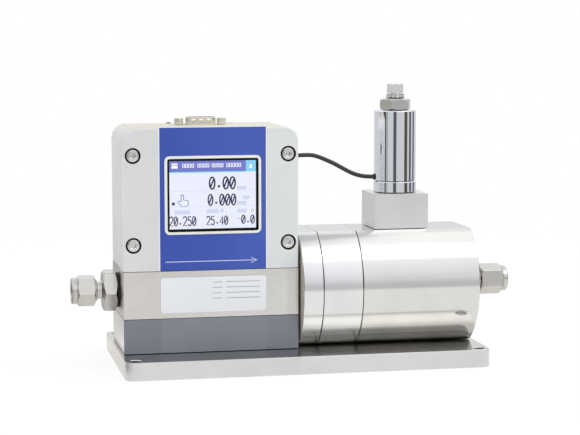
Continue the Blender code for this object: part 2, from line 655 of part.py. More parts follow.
def display():
    """Film, bezel, glass, display module and board, from the front to the back."""
    place = (FILM_X, METER_FRONT, DISPLAY_Z)
    low = CLEARANCE - DISPLAY_RISE
    high = HOUSING_HEIGHT - HOUSING_EDGE - DISPLAY_RISE
    half = FILM_WIDTH / 2
    film = prism("front_film", [(-half, low), (half, low), (half, high), (-half, high)],
                 -FILM_THICKNESS, 0, place, "front")
    window = rectangle(DISPLAY_WIDTH, DISPLAY_HEIGHT, BEZEL_CORNER_RADIUS, CLEARANCE)
    cut(film, prism("cut_film_window", window, -OVERCUT, OVERCUT, place, "front"))
    finish(film, "blue_film")

    pocket_floor = POCKET_DEPTH - PANEL_THICKNESS
    flange_front = pocket_floor - CLEARANCE
    flange_back = flange_front - BEZEL_FLANGE_THICKNESS
    bezel = prism("display_bezel", rectangle(DISPLAY_WIDTH, DISPLAY_HEIGHT, BEZEL_CORNER_RADIUS),
                  flange_back, BEZEL_PROUD, place, "front")
    soften_end(bezel, BEZEL_PROUD, BEZEL_LIP / 3)
    flange = rectangle(DISPLAY_WIDTH, DISPLAY_HEIGHT, BEZEL_CORNER_RADIUS, BEZEL_FLANGE_WIDTH)
    join(bezel, prism("add_flange", flange, flange_back, flange_front, place, "front"))
    opening = rectangle(DISPLAY_WIDTH, DISPLAY_HEIGHT, BEZEL_CORNER_RADIUS, -BEZEL_LIP)
    cut(bezel, prism("cut_opening", opening, flange_back - OVERCUT, BEZEL_PROUD + OVERCUT, place, "front"))
    finish(bezel, "tinned")

    pane = rectangle(DISPLAY_WIDTH, DISPLAY_HEIGHT, BEZEL_CORNER_RADIUS, -BEZEL_LIP - CLEARANCE)
    glass_front = BEZEL_PROUD - GLASS_RECESS
    glass_back = glass_front - GLASS_THICKNESS
    finish(prism("display_glass", pane, glass_back, glass_front, place, "front"), "glass")
    module_front = glass_back - CLEARANCE
    finish(prism("display_module", pane, -PANEL_THICKNESS, module_front, place, "front"), "screen")

    board_front = -PANEL_THICKNESS - CLEARANCE
    board_back = board_front - BOARD_THICKNESS
    board_width = METER_WIDTH - 2 * (COVER_SCREW_INSET_X + COLUMN_RADIUS + BOARD_SIDE_GAP)
    board_top = METER_TOP - HOUSING_WALL - BOARD_TOP_GAP
    board_base = HOUSING_BASE + BOARD_BASE_RISE
    board_height = board_top - board_base
    middle = (METER_X, METER_FRONT, (board_base + board_top) / 2)
    board = prism("main_board", rectangle(board_width, board_height), board_back, board_front, middle, "front")
    # Each component's place across and up, its width and its height as shares of the board, and its
    # depth as a multiple of the board's thickness
    for across, up, width, height, depth in ((0.0, 0.1, 0.19, 0.22, 1.0), (-0.3, -0.28, 0.24, 0.12, 3.0),
                                             (0.27, -0.28, 0.16, 0.19, 2.0), (-0.32, 0.28, 0.13, 0.1, 1.2),
                                             (0.32, 0.31, 0.11, 0.12, 2.5)):
        centre = (middle[0] + across * board_width, METER_FRONT, middle[2] + up * board_height)
        outline = rectangle(width * board_width, height * board_height)
        join(board, prism("add_component", outline, board_back - depth * BOARD_THICKNESS,
                          board_back + BOARD_THICKNESS / 2, centre, "front"))
    finish(board, "board")


def connector():
    """The nine-pin connector: shell from inside the top wall, insert with pins, two jackscrews."""
    x = METER_X + CONNECTOR_OFFSET_X
    place = (x, CONNECTOR_Y, METER_TOP)
    flange_top = -HOUSING_WALL - CLEARANCE
    flange_base = flange_top - CONNECTOR_FLANGE_THICKNESS
    shell = prism("connector_shell", connector_outline(), flange_base, CONNECTOR_RISE, place)
    soften_end(shell, CONNECTOR_RISE, CONNECTOR_SHEET / 2)
    flange = rectangle(CONNECTOR_FLANGE_WIDTH, CONNECTOR_FLANGE_DEPTH, CONNECTOR_FLANGE_CORNER, steps=2)
    join(shell, prism("add_connector_flange", flange, flange_base, flange_top, place))
    cut(shell, prism("cut_connector_inside", connector_outline(-CONNECTOR_SHEET), flange_base - OVERCUT,
                     CONNECTOR_RISE + OVERCUT, place))
    for side in (-1, 1):
        screw = (x + side * JACKSCREW_SPACING / 2, CONNECTOR_Y, METER_TOP + flange_top)
        drill(shell, screw, "up", JACKSCREW_SHANK_RADIUS + CLEARANCE, CONNECTOR_FLANGE_THICKNESS + OVERCUT,
              SMALL_SIDES)
    finish(shell, "tinned")

    insert_top = flange_top
    insert = prism("connector_insert", connector_outline(-CONNECTOR_SHEET - CLEARANCE),
                   flange_base - INSERT_DEPTH, insert_top, place)
    pin = [(insert_top - INSERT_DEPTH / 2, 0), (insert_top - INSERT_DEPTH / 2, PIN_RADIUS),
           (insert_top + PIN_HEIGHT, PIN_RADIUS), (insert_top + PIN_HEIGHT + PIN_RADIUS, 0)]
    for count, row in ((4, -1), (5, 1)):
        for index in range(count):
            pin_x = x + (index - (count - 1) / 2) * PIN_PITCH
            pin_y = CONNECTOR_Y + row * PIN_ROW_PITCH / 2
            join(insert, turned("add_pin", pin, (pin_x, pin_y, METER_TOP), sides=RING_SIDES))
    finish(insert, "white_plastic")

    shank = HOUSING_WALL + 2 * CLEARANCE + CONNECTOR_FLANGE_THICKNESS + OVERCUT
    for side, name in ((-1, "jackscrew_left"), (1, "jackscrew_right")):
        profile = [(-shank, 0), (-shank, JACKSCREW_SHANK_RADIUS), (0, JACKSCREW_SHANK_RADIUS)]
        profile += hexagon_profile(0, JACKSCREW_HEIGHT, JACKSCREW_ACROSS_FLATS)
        profile += [(JACKSCREW_HEIGHT, JACKSCREW_SHANK_RADIUS), (JACKSCREW_HEIGHT / 3, JACKSCREW_SHANK_RADIUS),
                    (JACKSCREW_HEIGHT / 3, 0)]
        centre = (x + side * JACKSCREW_SPACING / 2, CONNECTOR_Y, METER_TOP + CLEARANCE)
        screw = turned(name, profile, centre, sides=INNER_SIDES)
        cut_flats(screw, JACKSCREW_ACROSS_FLATS, -CLEARANCE / 2, JACKSCREW_HEIGHT + OVERCUT)
        finish(screw, "tinned")


def loop_path():
    """Centre line of a U-shaped flow tube, up the inlet leg, over and down the outlet leg."""
    left = METER_X - LOOP_WIDTH / 2
    right = METER_X + LOOP_WIDTH / 2
    bottom = AXIS_Z + LOOP_END_RISE
    top = HOUSING_BASE + LOOP_HEIGHT
    straight = top - LOOP_CORNER_RADIUS
    path = [Vector((left, 0, bottom)), Vector((left, 0, (bottom + straight) / 2))]
    for centre_x, first in ((left + LOOP_CORNER_RADIUS, 180.0), (right - LOOP_CORNER_RADIUS, 90.0)):
        for step in range(LOOP_CORNER_STEPS + 1):
            angle = math.radians(first - 90.0 * step / LOOP_CORNER_STEPS)
            path.append(Vector((centre_x + LOOP_CORNER_RADIUS * math.cos(angle), 0,
                                straight + LOOP_CORNER_RADIUS * math.sin(angle))))
    path += [Vector((right, 0, (bottom + straight) / 2)), Vector((right, 0, bottom))]
    return path


def sensing_pair(coil_name, magnet_name, x, z, coil_radius, magnet_radius):
    """A coil beside the front tube and, in its bore, a magnet held beside the rear tube."""
    reach = TUBE_SPACING / 2 + TUBE_RADIUS
    bore = magnet_radius + COIL_GAP
    coil = [(COIL_GAP, bore), (COIL_GAP, coil_radius), (reach, coil_radius), (reach, bore)]
    finish(turned(coil_name, coil, (x, 0, z), "front", INNER_SIDES), "copper")
    magnet = [(-reach / 2, 0), (-reach / 2, magnet_radius), (COIL_GAP, magnet_radius),
              (COIL_GAP, coil_radius), (reach, coil_radius), (reach, 0)]
    finish(turned(magnet_name, magnet, (x, 0, z), "back", INNER_SIDES), "magnet")


def flow_sensor():
    """Twin flow tubes with their braces, drive, pickoffs and temperature sensor."""
    path = loop_path()
    for y, name in ((-TUBE_SPACING / 2, "flow_tube_front"), (TUBE_SPACING / 2, "flow_tube_rear")):
        tube = swept(name, path, Vector((0, 1, 0)), TUBE_RADIUS, TUBE_BORE_RADIUS, location=(0, y, 0))
        finish(tube, "bright_steel")
    inlet = METER_X - LOOP_WIDTH / 2
    outlet = METER_X + LOOP_WIDTH / 2
    brace = rectangle(BRACE_WIDTH, TUBE_SPACING + 2 * (TUBE_RADIUS + BRACE_MARGIN), BRACE_MARGIN)
    for x, name in ((inlet, "brace_plate_inlet"), (outlet, "brace_plate_outlet")):
        plate = prism(name, brace, 0, BRACE_THICKNESS, (x, 0, HOUSING_BASE + BRACE_RISE))
        for y in (-TUBE_SPACING / 2, TUBE_SPACING / 2):
            drill(plate, (x, y, HOUSING_BASE + BRACE_RISE + BRACE_THICKNESS), "up", TUBE_RADIUS + CLEARANCE,
                  BRACE_THICKNESS + OVERCUT, SMALL_SIDES)
        finish(plate, "turned_steel")
    top = HOUSING_BASE + LOOP_HEIGHT
    sensing_pair("drive_coil", "drive_magnet", METER_X, top + TUBE_RADIUS + CLEARANCE + DRIVE_COIL_RADIUS,
                 DRIVE_COIL_RADIUS, DRIVE_MAGNET_RADIUS)
    inward = TUBE_RADIUS + CLEARANCE + PICKOFF_COIL_RADIUS
    pickoff_z = HOUSING_BASE + BRACE_RISE + BRACE_THICKNESS + PICKOFF_RISE
    for x, side in ((inlet + inward, "inlet"), (outlet - inward, "outlet")):
        sensing_pair(f"pickoff_coil_{side}", f"pickoff_magnet_{side}", x, pickoff_z, PICKOFF_COIL_RADIUS,
                     PICKOFF_MAGNET_RADIUS)
    sensor = [(0, 0), (0, SENSOR_RADIUS), (SENSOR_LENGTH, SENSOR_RADIUS), (SENSOR_LENGTH, 0)]
    place = (inlet - TUBE_RADIUS - CLEARANCE - SENSOR_RADIUS, -TUBE_SPACING / 2, pickoff_z)
    finish(turned("temperature_sensor", sensor, place, sides=SMALL_SIDES), "turned_steel")


def compression_fitting(side, face, facing, reach, hex_base, hex_length, hex_across_flats, hex_turn, nut_turn):
    """A fitting body, ferrule and nut, built outwards along +Z from the face that it screws into."""
    nut_base = reach - NUT_LENGTH
    shoulder = reach - NUT_LIP
    ferrule_back = shoulder - CLEARANCE
    taper_start = ferrule_back - FERRULE_PARALLEL
    ferrule_nose = ferrule_back - FERRULE_LENGTH
    # The body's mouth is the same cone, set back by the clearance
    cone_offset = CLEARANCE * math.hypot(1.0, FERRULE_SLOPE)
    mouth = taper_start - CLEARANCE
    mouth_radius = FERRULE_RADIUS - FERRULE_SLOPE * (taper_start - mouth) + cone_offset
    mouth_base = mouth - (mouth_radius - FITTING_TUBE_RADIUS) / FERRULE_SLOPE
    hex_top = hex_base + hex_length
    tube_stop = hex_base + hex_length / 2
    thread_base = mouth - NUT_THREAD_LENGTH

    profile = [(-SHANK_LENGTH, FLOW_BORE_RADIUS), (-SHANK_LENGTH, PORT_RADIUS), (hex_base, PORT_RADIUS)]
    profile += hexagon_profile(hex_base, hex_top, hex_across_flats)
    profile += [(hex_top, FITTING_NECK_RADIUS), (thread_base, FITTING_NECK_RADIUS),
                (thread_base, FITTING_THREAD_RADIUS), (mouth, FITTING_THREAD_RADIUS), (mouth, mouth_radius),
                (mouth_base, FITTING_TUBE_RADIUS), (tube_stop, FITTING_TUBE_RADIUS),
                (tube_stop, FLOW_BORE_RADIUS)]
    body = turned(f"{side}_fitting", profile, face, facing)
    cut_flats(body, hex_across_flats, hex_base - CLEARANCE / 2, hex_top + CLEARANCE, hex_turn)
    finish(body, "brushed_steel")

    ferrule = [(ferrule_nose, FITTING_TUBE_RADIUS), (ferrule_nose, FERRULE_NOSE_RADIUS),
               (taper_start, FERRULE_RADIUS),
               (ferrule_back, FERRULE_RADIUS), (ferrule_back, FITTING_TUBE_RADIUS)]
    finish(turned(f"{side}_ferrule", ferrule, face, facing, INNER_SIDES), "turned_steel")

    bore = FITTING_THREAD_RADIUS + CLEARANCE
    collar = reach - NUT_COLLAR_LENGTH
    edge = NUT_LIP / 4
    profile = [(nut_base, bore)] + hexagon_profile(nut_base, collar, NUT_ACROSS_FLATS, chamfer_high=False)
    profile += [(collar, NUT_COLLAR_RADIUS), (reach - edge, NUT_COLLAR_RADIUS),
                (reach, NUT_COLLAR_RADIUS - edge), (reach, FITTING_TUBE_RADIUS),
                (shoulder, FITTING_TUBE_RADIUS), (shoulder, bore)]
    nut = turned(f"{side}_nut", profile, face, facing)
    cut_flats(nut, NUT_ACROSS_FLATS, nut_base - CLEARANCE, reach + OVERCUT, nut_turn)
    finish(nut, "brushed_steel")


def fittings():
    """Inlet and outlet fittings, the inlet's seal, and the nipple between meter and valve."""
    compression_fitting("inlet", (METER_LEFT, 0, AXIS_Z), "left", INLET_REACH, SEAL_SPACE, INLET_HEX_LENGTH,
                        INLET_HEX_ACROSS_FLATS, INLET_HEX_TURN, INLET_NUT_TURN)
    compression_fitting("outlet", (VALVE_RIGHT, 0, AXIS_Z), "right", OUTLET_REACH, CLEARANCE,
                        OUTLET_HEX_LENGTH, OUTLET_HEX_ACROSS_FLATS, 0.0, 0.0)
    inner = PORT_RADIUS + CLEARANCE
    outer = SEAL_RADIUS
    seal = [(CLEARANCE, inner), (CLEARANCE, outer), (SEAL_SPACE - CLEARANCE, outer),
            (SEAL_SPACE - CLEARANCE, inner)]
    finish(turned("inlet_seal", seal, (METER_LEFT, 0, AXIS_Z), "left"), "black_rubber")
    nipple = [(-SHANK_LENGTH, FLOW_BORE_RADIUS), (-SHANK_LENGTH, PORT_RADIUS),
              (LINK_GAP + LINK_DEPTH, PORT_RADIUS), (LINK_GAP + LINK_DEPTH, FLOW_BORE_RADIUS)]
    finish(turned("link_nipple", nipple, (METER_RIGHT, 0, AXIS_Z), "right", INNER_SIDES), "turned_steel")


def tie_bolt_places():
    """Four bolts on a circle about the pipe axis, between the flats."""
    angles = [math.radians(45.0 + 90.0 * step) for step in range(4)]
    return [(TIE_BOLT_CIRCLE * math.cos(a), AXIS_Z + TIE_BOLT_CIRCLE * math.sin(a)) for a in angles]


def valve_section(name, left, length):
    """One section of the round valve, as a bar with two flats."""
    section = prism(name, flatted_circle(VALVE_RADIUS, VALVE_FLAT), 0, length, (left, 0, AXIS_Z), "right")
    soften(section, VALVE_EDGE, 1)
    return finish(section, "turned_steel")


def ring_groove(section, x):
    """Cut an O-ring's groove into a section's right or left face."""
    half = O_RING_SECTION + CLEARANCE
    depth = 2 * O_RING_SECTION
    groove = [(-depth, O_RING_RADIUS - half), (-depth, O_RING_RADIUS + half),
              (depth, O_RING_RADIUS + half), (depth, O_RING_RADIUS - half)]
    cut(section, turned("cut_groove", groove, (x, 0, AXIS_Z), "right"))


def o_ring(name, x):
    """A round-section ring that lies in its groove, to the left of the joint."""
    angles = [2 * math.pi * step / RING_SIDES for step in range(RING_SIDES)]
    centre = -O_RING_SECTION + CLEARANCE / 2
    section = [(centre + O_RING_SECTION * math.cos(a), O_RING_RADIUS + O_RING_SECTION * math.sin(a))
               for a in angles]
    finish(turned(name, section, (x, 0, AXIS_Z), "right"), "black_rubber")


def valve():
    """Inlet flange, filter section and main body, with the filter, seals and tie bolts."""
    flange = valve_section("valve_inlet_flange", VALVE_LEFT, INLET_FLANGE_LENGTH - CLEARANCE)
    flange_right = FILTER_SECTION_LEFT - CLEARANCE
    drill(flange, (VALVE_LEFT, 0, AXIS_Z), "left", PORT_HOLE_RADIUS, LINK_DEPTH + CLEARANCE)
    drill(flange, (flange_right, 0, AXIS_Z), "right", VALVE_BORE_RADIUS, INLET_FLANGE_LENGTH - LINK_DEPTH)
    drill(flange, (flange_right, 0, AXIS_Z), "right", FILTER_RADIUS + CLEARANCE, FILTER_SEAT_DEPTH)
    ring_groove(flange, flange_right)
    o_ring("flange_o_ring", flange_right)

    middle = valve_section("valve_filter_section", FILTER_SECTION_LEFT, FILTER_SECTION_LENGTH - CLEARANCE)
    middle_right = VALVE_BODY_LEFT - CLEARANCE
    drill(middle, (FILTER_SECTION_LEFT, 0, AXIS_Z), "left", CHAMBER_RADIUS, FILTER_SECTION_LENGTH + OVERCUT, SIDES)
    ring_groove(middle, middle_right)
    o_ring("body_o_ring", middle_right)

    body = valve_section("valve_body", VALVE_BODY_LEFT, VALVE_BODY_LENGTH)
    chamber_right = PILOT_X - RISER_RADIUS - CHAMBER_WALL
    drill(body, (VALVE_BODY_LEFT, 0, AXIS_Z), "left", CHAMBER_RADIUS, chamber_right - VALVE_BODY_LEFT, SIDES)
    drill(body, (VALVE_RIGHT, 0, AXIS_Z), "right", PORT_HOLE_RADIUS, SHANK_LENGTH + OVERCUT)
    drill(body, (VALVE_RIGHT, 0, AXIS_Z), "right", VALVE_BORE_RADIUS, PILOT_SETBACK + RISER_RADIUS)
    drill(body, (PILOT_X, 0, VALVE_TOP), "up", RISER_RADIUS, VALVE_FLAT, SMALL_SIDES)
    drill(body, (PILOT_X - RISER_OFFSET, 0, VALVE_TOP), "up", RISER_RADIUS, VALVE_FLAT - CHAMBER_RADIUS / 2,
          SMALL_SIDES)

    head_seat = VALVE_RIGHT - TIE_BOLT_HEAD_HEIGHT - CLEARANCE
    shank_end = flange_right - TIE_BOLT_ENGAGEMENT
    hole = TIE_BOLT_SHANK_RADIUS + CLEARANCE
    for number, (y, z) in enumerate(tie_bolt_places(), start=1):
        drill(flange, (flange_right, y, z), "right", hole, TIE_BOLT_ENGAGEMENT + CLEARANCE, SMALL_SIDES)
        drill(middle, (middle_right, y, z), "right", hole, FILTER_SECTION_LENGTH + OVERCUT, SMALL_SIDES)
        counterbore(body, (VALVE_RIGHT, y, z), "right", TIE_BOLT_HEAD_RADIUS + CLEARANCE,
                    TIE_BOLT_HEAD_HEIGHT + 2 * CLEARANCE, hole, VALVE_BODY_LENGTH + OVERCUT, INNER_SIDES)
        cap_screw(f"tie_bolt_{number}", (head_seat, y, z), "right", TIE_BOLT_HEAD_RADIUS,
                  TIE_BOLT_HEAD_HEIGHT, TIE_BOLT_SHANK_RADIUS, head_seat - shank_end, TIE_BOLT_SOCKET,
                  INNER_SIDES)

    seat = flange_right - FILTER_SEAT_DEPTH + CLEARANCE
    bore = FILTER_RADIUS - FILTER_WALL
    length = chamber_right - FILTER_END_GAP - seat
    cup = [(0, bore), (0, FILTER_RADIUS), (length, FILTER_RADIUS), (length, 0),
           (length - FILTER_WALL, 0), (length - FILTER_WALL, bore)]
    finish(turned("filter_element", cup, (seat, 0, AXIS_Z), "right", INNER_SIDES), "sintered")


def pilot_stage():
    """The block on the valve's top flat, and the seat that the plunger closes."""
    place = (PILOT_X, 0, PILOT_BASE)
    block = prism("pilot_block", rectangle(PILOT_BLOCK_SIZE, PILOT_BLOCK_SIZE), 0, PILOT_BLOCK_HEIGHT, place)
    soften(block, BLOCK_EDGE, 1)
    top = (PILOT_X, 0, PILOT_TOP)
    drill(block, top, "up", PILOT_CAVITY_RADIUS, PILOT_CAVITY_DEPTH, SIDES)
    drill(block, top, "up", SEAT_RADIUS + CLEARANCE, PILOT_BLOCK_HEIGHT + OVERCUT)
    drill(block, (PILOT_X - RISER_OFFSET, 0, PILOT_TOP), "up", RISER_RADIUS, PILOT_BLOCK_HEIGHT + OVERCUT,
          SMALL_SIDES)
    finish(block, "brushed_steel")

    flange_base = CAVITY_FLOOR + CLEARANCE
    flange_top = flange_base + SEAT_FLANGE_THICKNESS
    profile = [(PILOT_BASE, RISER_RADIUS), (PILOT_BASE, SEAT_RADIUS), (flange_base, SEAT_RADIUS),
               (flange_base, SEAT_FLANGE_RADIUS), (flange_top, SEAT_FLANGE_RADIUS),
               (flange_top, SEAT_NOSE_RADIUS), (SEAT_TOP, SEAT_NOSE_RADIUS), (SEAT_TOP, SEAT_ORIFICE_RADIUS),
               (flange_base, SEAT_ORIFICE_RADIUS), (flange_base, RISER_RADIUS)]
    finish(turned("pilot_seat", profile, (PILOT_X, 0, 0), sides=INNER_SIDES), "bright_steel")


def solenoid():
    """Base ring, case, winding, core tube, nut and vent plug."""
    axis = (PILOT_X, 0, 0)
    core_bore = PLUNGER_RADIUS + CLEARANCE
    core_hole = CORE_RADIUS + CLEARANCE
    ring_top = RING_BASE + SOLENOID_RING_HEIGHT
    ring = [(RING_BASE, core_hole), (RING_BASE, SOLENOID_RING_RADIUS), (ring_top, SOLENOID_RING_RADIUS),
            (ring_top, core_hole)]
    finish(turned("solenoid_base_ring", ring, axis, sides=FINE_SIDES), "chrome")

    case_inner = CASE_RADIUS - CASE_WALL
    ceiling = CASE_TOP - CASE_WALL
    stud_hole = STUD_RADIUS + CLEARANCE
    edge = CASE_WALL / 3
    shell = [(CASE_BASE, case_inner), (CASE_BASE, CASE_RADIUS), (CASE_TOP - edge, CASE_RADIUS),
             (CASE_TOP, CASE_RADIUS - edge), (CASE_TOP, stud_hole), (ceiling, stud_hole), (ceiling, case_inner)]
    case = turned("solenoid_case", shell, axis, sides=FINE_SIDES)
    drill(case, (PILOT_X - CASE_RADIUS, 0, CABLE_ENTRY_Z), "left", CABLE_RADIUS + CLEARANCE,
          CASE_WALL + OVERCUT, SMALL_SIDES)
    finish(case, "chrome")
    outer = case_inner - CLEARANCE
    low = ring_top + CLEARANCE
    high = ceiling - CLEARANCE
    winding = [(low, core_hole), (low, outer), (high, outer), (high, core_hole)]
    finish(turned("coil_winding", winding, axis, sides=INNER_SIDES), "copper")

    flange_top = PILOT_TOP
    flange_base = flange_top - CORE_FLANGE_HEIGHT
    flange_radius = PILOT_CAVITY_RADIUS - CLEARANCE
    pocket = SPRING_RADIUS + SPRING_WIRE_RADIUS + CLEARANCE
    vent_depth = VENT_SHANK_LENGTH + CLEARANCE
    vent_hole = VENT_SHANK_RADIUS + CLEARANCE
    tube_top = ceiling - CLEARANCE
    profile = [(flange_base, core_bore), (flange_base, flange_radius), (flange_top, flange_radius),
               (flange_top, CORE_RADIUS), (tube_top, CORE_RADIUS), (tube_top, STUD_RADIUS),
               (NUT_TOP, STUD_RADIUS), (NUT_TOP, vent_hole), (NUT_TOP - vent_depth, vent_hole),
               (NUT_TOP - vent_depth, 0), (SPRING_TOP + CLEARANCE, 0), (SPRING_TOP + CLEARANCE, pocket),
               (CORE_STOP, pocket), (CORE_STOP, core_bore)]
    finish(turned("core_tube", profile, axis, sides=INNER_SIDES), "turned_steel")

    profile = [(NUT_BASE, stud_hole)] + hexagon_profile(NUT_BASE, NUT_TOP, SOLENOID_NUT_ACROSS_FLATS)
    profile += [(NUT_TOP, stud_hole)]
    nut = turned("solenoid_nut", profile, axis)
    cut_flats(nut, SOLENOID_NUT_ACROSS_FLATS, NUT_BASE - CLEARANCE / 2, NUT_TOP + CLEARANCE, SOLENOID_NUT_TURN)
    finish(nut, "brushed_steel")

    collar_top = VENT_BASE + VENT_COLLAR_HEIGHT
    plug_top = collar_top + VENT_HEX_HEIGHT
    shank = NUT_TOP - VENT_SHANK_LENGTH
    profile = [(shank, 0), (shank, VENT_SHANK_RADIUS), (VENT_BASE, VENT_SHANK_RADIUS),
               (VENT_BASE, VENT_COLLAR_RADIUS), (collar_top - edge, VENT_COLLAR_RADIUS),
               (collar_top, VENT_COLLAR_RADIUS - edge)]
    profile += hexagon_profile(collar_top, plug_top, VENT_HEX_ACROSS_FLATS, chamfer_low=False) + [(plug_top, 0)]
    plug = turned("vent_plug", profile, axis)
    cut_flats(plug, VENT_HEX_ACROSS_FLATS, collar_top, plug_top + OVERCUT, SOLENOID_NUT_TURN)
    finish(plug, "brushed_steel")


def plunger():
    """The valve's moving plunger, with its origin on the joint's axis, and its spring."""
    tip = PLUNGER_RADIUS / 3
    profile = [(0, 0), (0, SEAT_NOSE_RADIUS), (tip, PLUNGER_RADIUS), (PLUNGER_LENGTH - tip / 2, PLUNGER_RADIUS),
               (PLUNGER_LENGTH, PLUNGER_RADIUS - tip / 2), (PLUNGER_LENGTH, 0)]
    finish(turned("valve_plunger", profile, (PILOT_X, 0, PLUNGER_BASE), sides=INNER_SIDES), "turned_steel")
    steps = SPRING_TURNS * SPRING_STEPS
    wire_travel = SPRING_LENGTH - 2 * SPRING_WIRE_RADIUS
    path = []
    for step in range(steps + 1):
        angle = 2 * math.pi * step / SPRING_STEPS
        height = SPRING_WIRE_RADIUS + wire_travel * step / steps
        path.append(Vector((SPRING_RADIUS * math.cos(angle), SPRING_RADIUS * math.sin(angle), height)))
    spring = swept("plunger_spring", path, Vector((0, 0, 1)), SPRING_WIRE_RADIUS, sides=WIRE_SIDES,
                   location=(PILOT_X, 0, SPRING_BASE))
    finish(spring, "bright_steel")


def smooth_route(points, steps):
    """Points along a smooth curve through a cord's own points."""
    ends = [2 * points[0] - points[1]] + points + [2 * points[-1] - points[-2]]
    route = [points[0]]
    for before, start, end, after in zip(ends, ends[1:], ends[2:], ends[3:]):
        for step in range(1, steps + 1):
            t = step / steps
            route.append(0.5 * (2 * start + (end - before) * t
                                + (2 * before - 5 * start + 4 * end - after) * t ** 2
                                + (3 * start - before - 3 * end + after) * t ** 3))
    return route


def signal_cable():
    """The cable from the housing to the solenoid, and the gland where it leaves the housing."""
    sleeve = HOUSING_WALL + OVERCUT
    bore = CABLE_RADIUS + CLEARANCE
    profile = [(-sleeve, bore), (-sleeve, GLAND_SLEEVE_RADIUS), (CLEARANCE, GLAND_SLEEVE_RADIUS),
               (CLEARANCE, GLAND_FLANGE_RADIUS), (GLAND_FLANGE_THICKNESS / 2, GLAND_FLANGE_RADIUS),
               (GLAND_FLANGE_THICKNESS, GLAND_SLEEVE_RADIUS), (GLAND_FLANGE_THICKNESS, bore)]
    gland = turned("cable_gland", profile, (METER_RIGHT, 0, CABLE_EXIT_HEIGHT), "right", INNER_SIDES)
    finish(gland, "black_rubber")

    start = METER_RIGHT - HOUSING_WALL
    end = PILOT_X - CASE_RADIUS + CASE_WALL / 2
    # Across and up, chosen by hand between the two ends
    route = [(start, CABLE_EXIT_HEIGHT), (METER_RIGHT, CABLE_EXIT_HEIGHT), (0.0032, 0.1196),
             (0.0085, 0.1197), (0.0137, 0.1190), (0.0232, 0.1151), (0.0349, 0.1089), (0.0420, 0.1068),
             (end - 0.0012, CABLE_ENTRY_Z), (end, CABLE_ENTRY_Z)]
    points = smooth_route([Vector((x, 0, z)) for x, z in route], 2)
    curve = bpy.data.curves.new("signal_cable", "CURVE")
    curve.dimensions = "3D"
    curve.bevel_depth = CABLE_RADIUS
    curve.bevel_resolution = 2
    curve.use_fill_caps = True
    curve.resolution_u = 1
    curve.render_resolution_u = 0
    spline = curve.splines.new("POLY")
    spline.points.add(len(points) - 1)
    for point, place in zip(spline.points, points):
        point.co = (*place, 1)
    cable = bpy.data.objects.new("signal_cable", curve)
    bpy.context.scene.collection.objects.link(cable)
    finish(cable, "cable")


def main():
    for obj in list(bpy.data.objects):
        bpy.data.objects.remove(obj)
    base_plate()
    meter_blocks()
    front_panel()
    electronics_housing()
    cover_screws()
    display()
    connector()
    flow_sensor()
    fittings()
    valve()
    pilot_stage()
    solenoid()
    plunger()
    signal_cable()


main()
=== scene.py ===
"""The looks of a bench mass flow controller: fine surfaces, materials, light and camera round its frame.

Units are metres, +Z is up and -Y is the front. Places come from the frame's own solids.
"""
import json
import math

import bmesh
import bpy
from mathutils import Matrix, Vector

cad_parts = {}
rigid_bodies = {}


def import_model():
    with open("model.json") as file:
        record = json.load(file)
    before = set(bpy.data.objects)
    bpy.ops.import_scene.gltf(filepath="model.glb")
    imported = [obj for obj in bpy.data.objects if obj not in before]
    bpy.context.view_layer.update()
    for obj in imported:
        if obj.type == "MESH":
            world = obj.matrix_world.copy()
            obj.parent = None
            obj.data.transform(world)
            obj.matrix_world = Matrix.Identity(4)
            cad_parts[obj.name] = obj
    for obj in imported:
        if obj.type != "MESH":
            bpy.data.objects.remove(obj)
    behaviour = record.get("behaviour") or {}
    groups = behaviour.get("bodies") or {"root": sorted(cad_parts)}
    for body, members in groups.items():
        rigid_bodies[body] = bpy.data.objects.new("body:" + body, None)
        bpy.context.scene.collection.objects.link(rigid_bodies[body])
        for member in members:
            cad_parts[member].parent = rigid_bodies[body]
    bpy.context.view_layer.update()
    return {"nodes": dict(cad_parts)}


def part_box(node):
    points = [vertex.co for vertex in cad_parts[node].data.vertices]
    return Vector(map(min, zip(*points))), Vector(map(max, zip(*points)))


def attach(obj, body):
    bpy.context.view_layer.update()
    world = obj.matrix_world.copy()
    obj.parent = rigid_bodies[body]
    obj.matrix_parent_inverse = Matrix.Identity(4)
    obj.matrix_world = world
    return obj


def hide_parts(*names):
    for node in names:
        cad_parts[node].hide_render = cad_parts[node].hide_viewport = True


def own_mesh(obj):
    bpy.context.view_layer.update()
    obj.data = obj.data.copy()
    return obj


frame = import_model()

MM = 0.001
CLEARANCE = 0.3 * MM
OVERCUT = 1.0 * MM

# Sides of round pieces, from the plated ones to the pins, and steps round an outline's corner
PLATED_SIDES = 160
SIDES = 96
BORE_SIDES = 64
TRIM_SIDES = 48
SMALL_SIDES = 32
PIN_SIDES = 16
CORNER_STEPS = 12
# Edges sharper than these show as lines, and are rounded
SHARP_ANGLE = math.radians(26.0)
SOFTENED_ANGLE = math.radians(40.0)
# Steps of a quarter round on a turned profile, in degrees
QUARTER = (0, 22, 45, 68, 90)

# The photograph's frame and the camera that took it
PHOTO_WIDTH = 580
FOCAL_PIXELS = 1807.7
SENSOR_WIDTH = 36.0
CAMERA_PLACE = Vector((-0.21646, -1.03180, 0.19815))
CAMERA_FORWARD = Vector((0.20138, 0.97352, -0.10819))
CAMERA_ROLL = math.radians(-0.036)
CAMERA_SHIFT = (0.0032, -0.0009)

# The light that metal reflects, and the plain light on everything else
REFLECTED_STRENGTH = 1.4
FILL_STRENGTH = 0.64
FILL_COLOUR = (0.98, 0.99, 1.0, 1.0)
WHITE = (1.0, 1.0, 1.0, 1.0)

# Where in its range a noise starts and ends a change of colour and of roughness
COLOUR_START, COLOUR_END = 0.35, 0.65
ROUGHNESS_START, ROUGHNESS_END = 0.3, 0.7
